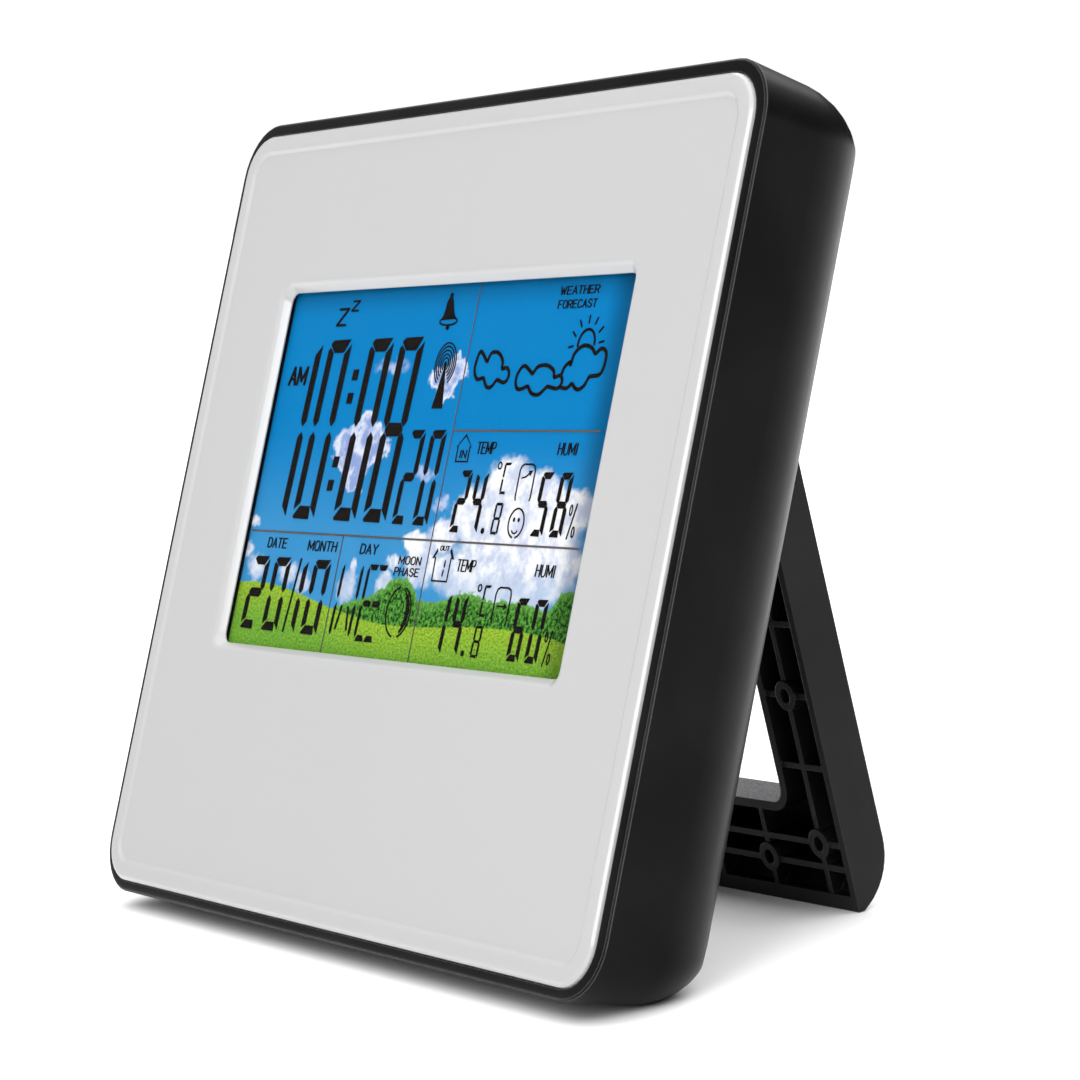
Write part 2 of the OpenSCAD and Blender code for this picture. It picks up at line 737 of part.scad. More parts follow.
module battery_lead_red() {
  color("red") on_table() tube(route(
    [-bay_hw + 3, 13.5, bay_hi + bay_wall + 0.2], [0, 0, 3],
    [-bay_hw + 6, board_back + 0.7, 74], [0, 0, 6], 12
  ), 0.6);
}

module battery_lead_black() {
  color([0.05, 0.05, 0.05]) on_table() tube(route(
    [bay_hw - 3, 13.5, bay_hi + bay_wall + 0.2], [0, 0, 3],
    [bay_hw - 6, board_back + 0.7, 74], [0, 0, 6], 12
  ), 0.6);
}

module sensor_cable() {
  color([0.85, 0.85, 0.85]) on_table() tube(route(
    [vent_x, 18.8, 46], [0, -6, 6], [-50, board_back + 0.8, 76], [2, 0, 12], 14
  ), 0.7);
}

module battery_door() {
  door_v = case_back - door_t;
  color(black) on_table() difference() {
    union() {
      block([-door_hw, door_v, door_hinge_z], [door_hw, case_back, door_hi]);
      rod_across(door_hinge_v, door_hinge_z, -door_hw, door_hw, door_t / 2);
      for (x = [-16, 14]) block([x, door_v - 1.6, bay_lo + 0.3], [x + 2, door_v + 0.2, bay_lo + 1.3]);
    }
    for (i = [0:3])
      block([-6, case_back - 0.5, door_hi - 4 - 1.6 * i], [6, case_back + over, door_hi - 3.2 - 1.6 * i]);
    for (x = [-9, 8]) block([x, door_v - over, door_hi - 9], [x + 1, case_back + over, door_hi + over]);
  }
}

// ---------- stand ----------

// Extrudes an outline of [height, depth] points across the width, in the folded position
module leg_prism(points, x0, x1) {
  translate([x0, leg_front, axis_z - leg_len]) rotate([90, 0, 90])
    linear_extrude(height = x1 - x0) polygon([for (p = points) [p[1], p[0]]]);
}

module folded_stand() {
  difference() {
    union() {
      difference() {
        leg_prism(concat([[leg_len, 0], [0, 0]], foot_outline, [[leg_len, leg_t]]), -leg_hw, leg_hw);
        difference() {
          leg_prism(concat(
            [[leg_len - barrel_r, -over], [foot_bar, -over]],
            [for (p = foot_outline) [p[0] + foot_bar, foot_profile(p[0] + skin_t) - skin_t]],
            [[leg_len - barrel_r, leg_t - skin_t]]
          ), -leg_hw + leg_wall, leg_hw - leg_wall);
          stand_ribs();
        }
      }
      rod_across(axis_v, axis_z, -leg_hw, leg_hw, barrel_r);
      block([-leg_hw, axis_v, axis_z - 1], [leg_hw, case_back, axis_z]);
      rod_across(axis_v, axis_z, -leg_hw - pin_len, leg_hw + pin_len, pin_r);
      for (dir = [-1, 1])
        block([min(dir * heel_x0, dir * heel_x1), axis_v, axis_z - 1],
          [max(dir * heel_x0, dir * heel_x1), case_back, axis_z + heel_len]);
    }
    translate([0, 0, axis_z - leg_len])
      round_plate(hole_hw, hole_lo, hole_hi, hole_r, leg_front - over, case_back + over);
  }
}

// Ribs and ejector rings in the hollow side of the stand
module stand_ribs() {
  foot_z = axis_z - leg_len;
  rings = [[42.2, 10.2], [28.2, 6.7], [42.2, 33.7], [42.2, 67.6]];
  difference() {
    union() {
      stand_rib_grid(foot_z, rib_top);
      for (side = [-1, 1], p = rings) rod_back(side * p[0], foot_z + p[1], leg_front, case_back, ring_r);
    }
    for (side = [-1, 1], p = rings)
      rod_back(side * p[0], foot_z + p[1], leg_front - over, leg_front + ring_deep, ring_bore_r);
  }
  translate([0, 0, foot_z])
    round_plate(hole_hw + leg_wall, hole_lo - leg_wall, hole_hi + leg_wall, hole_r + leg_wall,
      leg_front - over, case_back);
}

// Upright and cross ribs, from depth v to the skin
module stand_rib_grid(foot_z, v) {
  for (side = [-1, 1]) {
    block([side * 42.2 - rib / 2, v, foot_z], [side * 42.2 + rib / 2, case_back, axis_z]);
    for (x = [14, 28.2])
      block([side * x - rib / 2, v, foot_z], [side * x + rib / 2, case_back, foot_z + hole_lo]);
    for (s = [22.4:11.3:90])
      block([min(side * hole_hw, side * leg_hw), v, foot_z + s - rib / 2],
        [max(side * hole_hw, side * leg_hw), case_back, foot_z + s + rib / 2]);
  }
  block([-rib / 2, v, foot_z], [rib / 2, case_back, foot_z + hole_lo]);
  for (s = [6.4, 10.2])
    block([-leg_hw, v, foot_z + s - rib / 2], [leg_hw, case_back, foot_z + s + rib / 2]);
  block([-leg_hw, v, foot_z + 84], [leg_hw, case_back, foot_z + 84 + rib]);
}

module stand() {
  color(black) on_table()
    translate([0, axis_v, axis_z]) rotate([open_angle, 0, 0]) translate([0, -axis_v, -axis_z]) folded_stand();
}

// ---------- keys ----------
module snooze_bar() {
  color(black) on_table() {
    block([-bar_hw, bar_v0, bar_flange_z + bar_flange_t / 2], [bar_hw, bar_v1, bar_top]);
    block([-bar_hw - 2, bar_v0 - 1.2, bar_flange_z], [bar_hw + 2, bar_v1 + 1.2, bar_flange_z + bar_flange_t]);
  }
}

module snooze_switch() {
  on_table() {
    color([0.08, 0.08, 0.08]) block([-3, board_back + 0.05, 118.4], [3, board_back + 3.6, 122.4]);
    color([0.8, 0.8, 0.8]) rod_up(0, board_back + 1.8, 122.3, bar_flange_z - 1.3, 1.2);
  }
}

module rear_key(x, z) {
  color([0.16, 0.16, 0.17]) on_table() {
    pill(x, z, key_w, key_h, flange_back - key_flange / 2, case_back + key_proud);
    pill(x, z, key_w + 2, key_h + 2, flange_back - key_flange, flange_back);
    rod_back(x, z, key_end, flange_back - key_flange / 2, 1.6);
  }
}

module key_1() {
  rear_key(key_x[0], key_z[1]);
}

module key_2() {
  rear_key(key_x[1], key_z[1]);
}

module key_3() {
  rear_key(key_x[2], key_z[1]);
}

module key_4() {
  rear_key(key_x[0], key_z[0]);
}

module key_5() {
  rear_key(key_x[1], key_z[0]);
}

module key_6() {
  rear_key(key_x[2], key_z[0]);
}

module key_board() {
  color(board_green) on_table() difference() {
    block([-32, key_board_v, key_z[0] - 4.2], [32, key_board_v + key_board_t - 0.05, key_z[1] + 4.2]);
    for (x = key_post_x) rod_back(x, key_mid, key_board_v - over, key_board_v + 3, 1.2);
  }
}

module key_switches() {
  foot_v = key_board_v + key_board_t;
  on_table() for (x = key_x, z = key_z) {
    color([0.08, 0.08, 0.08]) block([x - 3, foot_v, z - 3], [x + 3, foot_v + switch_h, z + 3]);
    color([0.8, 0.8, 0.8]) rod_back(x, z, foot_v + switch_h - 0.1, foot_v + switch_h + 0.6, 1.7);
  }
}

// Flat cable that turns back on itself between the two boards
module ribbon_cable() {
  outer_r = (key_board_v - board_back) / 2 - 0.05;
  strip = 0.4;
  turn_v = (key_board_v + board_back) / 2;
  turn_z = key_z[0];
  color([0.85, 0.8, 0.7]) on_table() {
    difference() {
      rod_across(turn_v, turn_z, -6, 6, outer_r);
      rod_across(turn_v, turn_z, -7, 7, outer_r - strip);
      block([-7, turn_v - 5, turn_z], [7, turn_v + 5, turn_z + 5]);
    }
    for (side = [-1, 1])
      block([-6, min(turn_v + side * outer_r, turn_v + side * (outer_r - strip)), turn_z - 0.05],
        [6, max(turn_v + side * outer_r, turn_v + side * (outer_r - strip)), turn_z + 3]);
  }
}

// ---------- screws ----------
module housing_screws() {
  color(steel) on_table()
    for (x = [-post_x, post_x], z = post_z)
      screw(x, z, panel_back + 1, well_v + 0.05, post_hole_r - 0.05, 2.8, 1.9);
}

module holder_screws() {
  color(steel) on_table()
    for (x = [-ear_x, ear_x], z = ear_z) screw(x, z, panel_back + 1, ear_v + ear_t + 0.05, screw_r, 2.1, 1.3);
}

module board_screws() {
  color(steel) on_table()
    for (x = [-board_hole_x, board_hole_x], z = board_hole_z)
      screw(x, z, 4.6, board_back + 0.05, screw_r, 2, 1.3);
}

module key_board_screws() {
  color(steel) on_table() for (x = key_post_x) {
    rod_back(x, key_mid, key_board_v - 0.6, key_board_v + 6, screw_r);
    rod_back(x, key_mid, key_board_v - 1.35, key_board_v - 0.05, 2);
  }
}

front_panel();
rear_case();
display_lens();
lcd_glass();
scenery_film();
light_guide();
reflector_sheet();
backlight_leds();
lcd_holder();
zebra_strip();
main_board();
chip_cap();
board_parts();
receiver_board();
helical_antenna();
ferrite_rod();
antenna_coil();
buzzer();
sensor_board();
humidity_sensor();
sensor_cable();
battery_cell_1();
battery_cell_2();
battery_springs();
contact_plates();
battery_lead_red();
battery_lead_black();
battery_door();
stand();
snooze_bar();
snooze_switch();
key_1();
key_2();
key_3();
key_4();
key_5();
key_6();
key_board();
key_switches();
ribbon_cable();
housing_screws();
holder_screws();
board_screws();
key_board_screws();
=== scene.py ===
"""Looks of a home weather station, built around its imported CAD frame."""

import json
import math

import bmesh
import bpy
from mathutils import Matrix, Vector


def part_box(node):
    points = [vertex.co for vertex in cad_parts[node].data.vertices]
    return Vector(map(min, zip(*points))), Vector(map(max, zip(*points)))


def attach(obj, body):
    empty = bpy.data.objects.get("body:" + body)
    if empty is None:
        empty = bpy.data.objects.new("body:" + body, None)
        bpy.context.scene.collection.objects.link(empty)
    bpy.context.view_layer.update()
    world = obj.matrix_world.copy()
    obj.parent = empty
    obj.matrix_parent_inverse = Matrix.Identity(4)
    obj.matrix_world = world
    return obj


MM = 0.001
CASE = "case"

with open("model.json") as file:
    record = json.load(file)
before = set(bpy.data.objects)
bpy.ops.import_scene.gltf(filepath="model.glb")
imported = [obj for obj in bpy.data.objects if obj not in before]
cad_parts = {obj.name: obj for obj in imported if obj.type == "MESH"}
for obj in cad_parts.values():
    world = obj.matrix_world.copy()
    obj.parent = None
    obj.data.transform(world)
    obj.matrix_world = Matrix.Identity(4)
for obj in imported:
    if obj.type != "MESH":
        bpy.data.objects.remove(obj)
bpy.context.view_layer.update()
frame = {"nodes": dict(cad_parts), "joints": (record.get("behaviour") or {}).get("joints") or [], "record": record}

# ---------- the face frame: X right, Y into the case, Z up the face ----------
JOINTS = {j["name"]: j for j in frame["joints"]}
MOUNTS = {m["name"]: m for m in frame["record"]["mounts"]}
HINGE_DEPTH = 21.5 * MM
HINGE_HEIGHT = 102 * MM
BACK = Vector(MOUNTS["wall_back"]["axis"]).normalized()
UP = Vector((0, -BACK.z, BACK.y))
ORIGIN = Vector(JOINTS["stand_hinge"]["pos_m"]) - BACK * HINGE_DEPTH - UP * HINGE_HEIGHT
FACE = Matrix.Translation(ORIGIN) @ Matrix((Vector((1, 0, 0)), BACK, UP)).transposed().to_4x4()


def face_point(x, depth, up):
    """A point given in millimetres in the face frame, in metres in the CAD's frame."""
    return FACE @ Vector((x * MM, depth * MM, up * MM))


def face_vector(x, depth, up):
    """A direction given in the face frame, in the CAD's frame."""
    return (FACE.to_3x3() @ Vector((x, depth, up))).normalized()


# ---------- camera, at the photo's viewing angle ----------
SENSOR_MM = 36
LENS_MM = 120.85
CLIP_START = 0.01
CAMERA_AT = (482.35, -272.7, 16.57)
CAMERA_RIGHT = (0.5303, 0.8262, 0.1900)
CAMERA_FORWARD = (-0.8473, 0.5240, 0.0863)


def link_object(name, data):
    made = bpy.data.objects.new(name, data)
    bpy.context.scene.collection.objects.link(made)
    return made


def add_camera():
    data = bpy.data.cameras.new("camera")
    data.sensor_width = SENSOR_MM
    data.lens = LENS_MM
    data.clip_start = CLIP_START
    camera = link_object("camera", data)
    right = face_vector(*CAMERA_RIGHT)
    forward = face_vector(*CAMERA_FORWARD)
    right = (right - forward * right.dot(forward)).normalized()
    turn = Matrix((right, right.cross(forward), -forward)).transposed()
    camera.matrix_world = Matrix.Translation(face_point(*CAMERA_AT)) @ turn.to_4x4()
    bpy.context.scene.camera = camera


# ---------- node graphs ----------
def linear(r, g, b):
    """A colour given as 0 to 255 on screen, as linear RGBA."""
    shares = (r / 255, g / 255, b / 255)
    return tuple(
        s / 12.92 if s <= 0.04045 else ((s + 0.055) / 1.055) ** 2.4 for s in shares
    ) + (1,)


class Val:
    """A node's output that sums can be written with."""

    def __init__(self, graph, socket):
        self.graph = graph
        self.socket = socket

    def __add__(self, other):
        return self.graph.math("ADD", self, other)

    def __sub__(self, other):
        return self.graph.math("SUBTRACT", self, other)

    def __rsub__(self, other):
        return self.graph.math("SUBTRACT", other, self)

    def __mul__(self, other):
        return self.graph.math("MULTIPLY", self, other)


class Graph:
    """The node tree of a material or of the world."""

    def __init__(self, owner):
        self.owner = owner
        owner.use_nodes = True
        self.tree = owner.node_tree
        self.tree.nodes.clear()

    def put(self, socket, value):
        if isinstance(value, Val):
            self.tree.links.new(value.socket, socket)
        elif isinstance(value, Vector):
            socket.default_value = tuple(value)
        else:
            socket.default_value = value

    def node(self, kind, out, inputs, **props):
        made = self.tree.nodes.new(kind)
        for key, value in props.items():
            setattr(made, key, value)
        for key, value in inputs.items():
            self.put(made.inputs[key], value)
        return Val(self, made.outputs[out])

    def math(self, op, a, b=0.0):
        return self.node("ShaderNodeMath", 0, {0: a, 1: b}, operation=op)

    def vector(self, op, a, b, out=0):
        return self.node("ShaderNodeVectorMath", out, {0: a, 1: b}, operation=op)

    def dot(self, a, b):
        return self.vector("DOT_PRODUCT", a, b, out="Value")

    def part(self, axis, vector):
        return self.node("ShaderNodeSeparateXYZ", axis, {0: vector})

    def place(self):
        """Rest position in metres: it stays with the piece when its body moves."""
        return self.node("ShaderNodeTexCoord", "Object", {})

    def noise(self, where, scale, detail=2.0, rough=0.5, out="Fac"):
        return self.node(
            "ShaderNodeTexNoise", out,
            {"Vector": where, "Scale": scale, "Detail": detail, "Roughness": rough},
        )

    def step(self, value, low, high, to=(0.0, 1.0)):
        """A smooth change between two values of to, as the value goes from low to high."""
        return self.node(
            "ShaderNodeMapRange", 0,
            {"Value": value, "From Min": low, "From Max": high, "To Min": to[0], "To Max": to[1]},
            interpolation_type="SMOOTHSTEP",
        )

    def mix(self, factor, a, b, blend="MIX"):
        return self.node(
            "ShaderNodeMixRGB", 0, {"Fac": factor, "Color1": a, "Color2": b}, blend_type=blend,
        )

    def curve(self, value, points):
        """A smooth curve of one value, with points inside 0 to 1 both ways."""
        made = self.tree.nodes.new("ShaderNodeFloatCurve")
        line = made.mapping.curves[0]
        line.points[0].location = points[0]
        line.points[1].location = points[-1]
        for p in points[1:-1]:
            line.points.new(*p)
        made.mapping.update()
        self.put(made.inputs["Value"], value)
        return Val(self, made.outputs[0])

    def round_edges(self, radius):
        return self.node("ShaderNodeBevel", 0, {"Radius": radius}, samples=4)

    def bump(self, height, depth, strength, normal=None):
        inputs = {"Height": height, "Distance": depth, "Strength": strength}
        if normal is not None:
            inputs["Normal"] = normal
        return self.node("ShaderNodeBump", 0, inputs)

    def edge_wear_and_highlight(self, rounded):
        """1 on sharp outer and inner edges and 0 on flats."""
        flat = self.node("ShaderNodeNewGeometry", "Normal", {})
        return self.step(self.dot(rounded, flat), 0.998, 0.9)

    def close(self, shader, output):
        end = self.tree.nodes.new(output)
        self.tree.links.new(shader.socket, end.inputs["Surface"])
        return self.owner

    def finish(self, inputs):
        shader = self.node("ShaderNodeBsdfPrincipled", 0, inputs)
        return self.close(shader, "ShaderNodeOutputMaterial")


def material_graph(name):
    return Graph(bpy.data.materials.new(name))


# ---------- surfaces ----------
PLASTIC_IOR = 1.49
EDGE_RADIUS_MM = 0.25
# Where the painted light on the up-facing sill of the stand's opening starts and ends: how far a face points up,
# the distance from the middle and the height
SILL_UP = (0.8, 0.95)
SILL_SIDE = (35.6 * MM, 35.4 * MM)
SILL_HEIGHT = (15.5 * MM, 15.8 * MM)


def moulded(name, base, wear_and_highlight, rough, grain_mm, grain_depth, radius_mm=EDGE_RADIUS_MM,
            cloud=0.06, sheen=0.5, painted_sill_light=None):
    """Moulded plastic: fine tool texture, faint cloudiness, and polished edges painted lighter, partly as wear and
    partly as a painted highlight.

    Given a sill colour, the up-facing sill of the stand's opening is painted that lighter colour as painted light
    from above, speckled with grain.
    """
    g = material_graph(name)
    where = g.place()
    rounded = g.round_edges(radius_mm * MM)
    edges = g.edge_wear_and_highlight(rounded)
    broad = g.noise(where, 45.0, 3.0)
    fine = g.noise(where, 1 / (grain_mm * MM), 2.0, 0.6)
    scuff = g.noise(where, 380.0, 4.0, 0.7)
    tone = g.mix(g.step(broad, 0.3, 0.7, (0.0, cloud * 4)), base, wear_and_highlight)
    # Edges painted towards the lighter colour: partly worn plastic, partly a painted highlight along the rounded
    # edges.
    tone = g.mix(edges * 0.55, tone, wear_and_highlight)
    shine = g.step(scuff, 0.25, 0.75, (rough * 0.95, rough * 1.06)) - edges * (rough * 0.3)
    height = g.bump(fine, grain_depth * MM, 0.6, rounded)
    if painted_sill_light:
        # Painted light: faces of the sill that point up are painted lighter, as if lit from above, with grain
        # specks in it.
        up = g.part("Z", g.node("ShaderNodeTexCoord", "Normal", {}))
        x = g.math("ABSOLUTE", g.part("X", where))
        z = g.part("Z", where)
        speck = g.noise(where, 2600.0, 2.0, 0.7)
        patch = g.step(up, *SILL_UP) * g.step(x, *SILL_SIDE) * g.step(z, *SILL_HEIGHT)
        tone = g.mix(patch * g.step(speck, 0.3, 0.7, (0.35, 1.0)), tone, painted_sill_light)
        shine = shine + patch * 0.25
        height = g.bump(speck * patch, 0.05 * MM, 0.7, height)
    return g.finish({
        "Base Color": tone,
        "Roughness": shine,
        "Normal": height,
        "Specular IOR Level": sheen,
        "IOR": PLASTIC_IOR,
    })


def glossy_panel(name, base, second):
    """High-gloss moulded face: faint orange peel under a clear shine."""
    g = material_graph(name)
    where = g.place()
    broad = g.noise(where, 16.0, 2.0)
    peel = g.noise(where, 420.0, 1.0)
    return g.finish({
        "Base Color": g.mix(broad, base, second),
        "Roughness": g.step(broad, 0.1, 0.9, (0.3, 0.285)),
        "Normal": g.bump(peel, 0.0004 * MM, 0.4, g.round_edges(EDGE_RADIUS_MM * MM)),
        "Coat Weight": 0.5,
        "Coat Roughness": 0.1,
        "IOR": PLASTIC_IOR,
    })


def metal(name, base, tint, rough, stretch=(1, 1, 12)):
    """Plated or brushed metal with fine lines and faint tarnish."""
    g = material_graph(name)
    where = g.place()
    lines = g.noise(g.vector("MULTIPLY", where, Vector(stretch)), 900.0, 2.0)
    stain = g.noise(where, 260.0, 3.0)
    return g.finish({
        "Base Color": g.mix(g.step(stain, 0.35, 0.7), base, tint),
        "Metallic": 1.0,
        "Roughness": g.step(lines, 0.2, 0.8, (rough * 0.75, rough * 1.3)),
        "Normal": g.bump(lines, 0.004 * MM, 0.5),
    })


def coloured(name, base, second, rough, scale=300.0, depth_mm=0.01, alpha=1.0):
    """A mottled coloured surface, for rubber, wraps, sheets and inner parts."""
    g = material_graph(name)
    where = g.place()
    spots = g.noise(where, scale, 3.0, 0.6)
    return g.finish({
        "Base Color": g.mix(g.step(spots, 0.3, 0.75), base, second),
        "Roughness": g.step(spots, 0.2, 0.8, (rough * 0.85, min(rough * 1.2, 1.0))),
        "Normal": g.bump(spots, depth_mm * MM, 0.5),
        "Alpha": alpha,
    })


def board_material(name):
    """Solder mask with copper tracks under it and small vias."""
    g = material_graph(name)
    where = g.place()
    cells = g.node(
        "ShaderNodeTexVoronoi", "Distance", {"Vector": where, "Scale": 420.0},
        distance="CHEBYCHEV",
    )
    tracks = g.step(cells, 0.3, 0.36) - g.step(cells, 0.42, 0.48)
    vias = g.step(cells, 0.09, 0.05)
    tone = g.mix(g.math("MAXIMUM", tracks, 0.0), linear(14, 74, 40), linear(30, 112, 62))
    return g.finish({
        "Base Color": g.mix(vias, tone, linear(196, 190, 170)),
        "Metallic": vias,
        "Roughness": g.step(g.noise(where, 700.0), 0.3, 0.7, (0.26, 0.38)),
        "Normal": g.bump(tracks, 0.03 * MM, 0.5),
    })


# Places along a cell in millimetres from its tip or its tail, as the start and end of each change
CELL_CAP = (1.9, 1.7)
CELL_FOOT = (0.5, 0.3)
CELL_BAND = (16.2, 16.0)


def cell_material(name):
    """Dry cells in a dark sleeve, with a copper band at the positive end and bare metal ends."""
    g = material_graph(name)
    where = g.place()
    lower, upper = (
        Vector(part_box(node)[0]).lerp(Vector(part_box(node)[1]), 0.5)
        for node in ("battery_cell_1", "battery_cell_2")
    )
    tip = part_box("battery_cell_1")[1][0] / MM
    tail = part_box("battery_cell_1")[0][0] / MM
    # The two cells lie in opposite directions, so x counts the other way in the upper one
    above = g.dot(where, UP) - UP.dot(lower.lerp(upper, 0.5))
    facing = g.step(above, -0.1 * MM, 0.1 * MM, (1000.0, -1000.0))
    along = g.part("X", where) * facing
    cap = g.step(along, tip - CELL_CAP[0], tip - CELL_CAP[1])
    foot = g.step(along, tail + CELL_FOOT[0], tail + CELL_FOOT[1])
    bare = g.math("MAXIMUM", cap, foot)
    band = (tip - CELL_BAND[0], tip - CELL_BAND[1])
    wear = g.noise(where, 30.0, 2.0)
    copper = g.mix(wear, linear(196, 128, 62), linear(186, 118, 56))
    sleeve = g.mix(wear, linear(30, 32, 36), linear(38, 40, 44))
    tone = g.mix(g.step(along, *band), sleeve, copper)
    fine = g.noise(where, 900.0, 2.0)
    return g.finish({
        "Base Color": g.mix(bare, tone, linear(196, 196, 198)),
        "Metallic": g.math("MAXIMUM", bare, g.step(along, *band, (0.0, 0.6))),
        "Roughness": g.step(fine, 0.2, 0.8, (0.29, 0.33)),
        "Normal": g.bump(fine, 0.001 * MM, 0.4),
    })


def lens_material(name):
    """Clear sheet with a faint haze of fine scuffs."""
    g = material_graph(name)
    haze = g.noise(g.place(), 240.0, 4.0, 0.7)
    return g.finish({
        "Base Color": linear(20, 23, 28),
        "Roughness": g.step(haze, 0.3, 0.75, (0.02, 0.06)),
        "Alpha": 0.035,
        "IOR": PLASTIC_IOR,
    })


# The display's own layers hardly shine, since the lens in front of them does
MATT = 0.01


def ink_material(name, base, second, scale):
    """The display's printed black or grey, faintly uneven."""
    g = material_graph(name)
    where = g.place()
    faint = g.noise(where, scale, 2.0)
    return g.finish({
        "Base Color": g.mix(faint, base, second),
        "Roughness": g.step(faint, 0.2, 0.8, (0.5, 0.62)),
        "Specular IOR Level": MATT,
    })


# ---------- the display's picture ----------
PICTURE_MID = (-0.4, 71.35)
PICTURE_HALF = (52.0, 30.1)
PICTURE_EDGE = (0.12, -0.12)

# Blobs as x, height, half width and half height in millimetres on the face
HAZY = [
    (-20.0, 77.6, 3.6, 3.4), (-25.6, 75.4, 4.6, 3.6), (-15.8, 75.4, 4.6, 3.2),
    (-21.6, 72.8, 5.0, 3.2), (-20.8, 69.4, 3.2, 1.8),
    (0.4, 86.4, 5.0, 2.3), (4.8, 87.8, 4.0, 2.8), (2.4, 84.6, 3.4, 1.8),
]
CLOUDS = [
    (26.0, 70.0, 7.5, 4.6), (35.5, 68.4, 7.5, 4.4), (45.0, 66.0, 6.5, 4.0),
    (17.5, 65.4, 6.5, 4.4), (10.0, 61.8, 5.0, 3.0), (30.0, 62.0, 17.0, 6.0),
    (43.0, 58.5, 9.0, 5.0), (15.0, 56.6, 7.5, 3.2), (27.0, 56.4, 14.0, 4.6),
    (30.0, 54.0, 21.0, 3.6), (2.6, 60.4, 5.0, 2.2), (5.0, 57.0, 5.4, 4.0),
]
LOW_CLOUDS = [
    (-47.5, 54.8, 4.2, 2.4), (-51.8, 57.6, 2.4, 2.0), (-36.5, 54.4, 4.2, 2.2),
    (-31.0, 52.8, 3.0, 2.4), (-16.4, 52.6, 3.8, 2.8), (-15.4, 55.4, 1.7, 1.9),
    (-5.0, 53.8, 3.2, 2.6), (-3.0, 57.2, 3.0, 1.4),
    (-51.4, 62.6, 2.2, 1.6), (4.5, 55.2, 2.6, 2.2),
]
WISPS = [(-15.5, 88.4, 6.0, 1.7), (8.0, 66.6, 3.4, 1.6), (1.6, 71.2, 4.2, 1.6)]
# The hill's edge and the bushes' tops from left to right, as x and height
HILL = [
    (-54, 52.2), (-45, 52.5), (-38, 52.0), (-30, 50.9), (-21, 49.4), (-13, 48.3),
    (-5, 47.5), (8, 47.5), (25, 48.3), (42, 48.0), (52, 46.6),
]
BUSH = [
    (-54, 44.0), (-24, 47.5), (-17, 50.0), (-9, 51.6), (-4.5, 53.2), (0.3, 54.9),
    (4.5, 53.4), (8, 51.4), (14, 52.0), (20, 53.3), (28, 52.4), (36, 52.6),
    (43, 51.6), (47.6, 54.6), (52, 53.6),
]
CURVE_X = (-54, 52)
CURVE_U = (42, 60)


def blobs(g, rows, at):
    """How deep a place lies inside soft ellipses: 1 at a middle, and 0 on their outline."""
    total = None
    for cx, cu, rx, ru in rows:
        off = g.vector("SUBTRACT", at, Vector((cx, cu, 0)))
        away = g.vector("MULTIPLY", off, Vector((1 / rx, 1 / ru, 0)))
        inside = 1.0 - g.vector("LENGTH", away, Vector(), out="Value")
        total = inside if total is None else g.math("SMOOTH_MAX", total, inside)
    return total


def skyline(g, x, points):
    """Height of the smooth line through the points, at x."""
    wide = CURVE_X[1] - CURVE_X[0]
    tall = CURVE_U[1] - CURVE_U[0]
    scaled = [((px - CURVE_X[0]) / wide, (pu - CURVE_U[0]) / tall) for px, pu in points]
    along = (x - CURVE_X[0]) * (1 / wide)
    return g.curve(along, scaled) * tall + CURVE_U[0]


def torn(g, flat, ripple, reach):
    """Places pushed aside by a ripple, which tears the outline of what is drawn there."""
    return g.vector("ADD", flat, g.vector("MULTIPLY", ripple, Vector(reach)))


def air_layers(g, u, flat):
    """Blue sky with white, hazy and torn clouds."""
    ripple = g.noise(flat, 0.4, 5.0, 0.55, "Color")
    ripple = g.vector("SUBTRACT", ripple, Vector((0.5, 0.5, 0.5)))
    ragged = torn(g, flat, ripple, (4.6, 4.0, 0))
    sky = g.mix(g.step(u, 57.0, 80.0), linear(64, 150, 206), linear(0, 128, 196))
    tint = g.noise(flat, 0.09, 3.0)
    sky = g.mix(g.step(tint, 0.3, 0.75, (0.0, 0.25)), sky, linear(10, 134, 200))
    puff = g.noise(flat, 0.26, 3.0, 0.5) + (g.noise(flat, 1.1, 3.0, 0.6) - 0.5) * 0.35
    white = g.mix(g.step(puff, 0.36, 0.62), linear(204, 213, 236), linear(253, 254, 255))
    underside = g.step(u + puff * 8.0, 64.0, 56.0, (0.0, 0.75))
    white = g.mix(underside, white, linear(176, 197, 226))
    cover = g.step(blobs(g, CLOUDS, ragged), 0.0, 0.34)
    low = g.step(blobs(g, LOW_CLOUDS, ragged), 0.0, 0.55, (0.0, 0.94))
    depth = blobs(g, HAZY, torn(g, flat, ripple, (7.0, 7.0, 0)))
    core = g.step(depth - (puff - 0.5) * 1.8, 0.1, 0.8)
    haze = g.mix(core, linear(244, 246, 255), linear(150, 170, 222))
    wisp = g.step(blobs(g, WISPS, ragged), 0.0, 0.6, (0.0, 0.75)) * g.step(puff, 0.35, 0.6)
    air = g.mix(wisp, sky, linear(206, 214, 244))
    air = g.mix(g.step(depth, 0.0, 0.3, (0.0, 0.9)), air, haze)
    air = g.mix(low, air, white)
    return g.mix(cover, air, white)


def bush_layer(g, x, u, flat, behind):
    """A row of leafy bushes, lighter along their tops."""
    leaf = g.noise(flat, 1.5, 5.0, 0.7)
    below = skyline(g, x, BUSH) + (g.noise(flat, 0.75, 4.0, 0.7) - 0.5) * 3.4 - u
    tone = g.mix(g.step(leaf, 0.42, 0.6), linear(12, 58, 20), linear(98, 172, 62))
    tone = g.mix(g.step(below, 1.8, 0.1, (0.0, 0.4)), tone, linear(128, 196, 92))
    return g.mix(g.step(below, -0.15, 0.2), behind, tone)


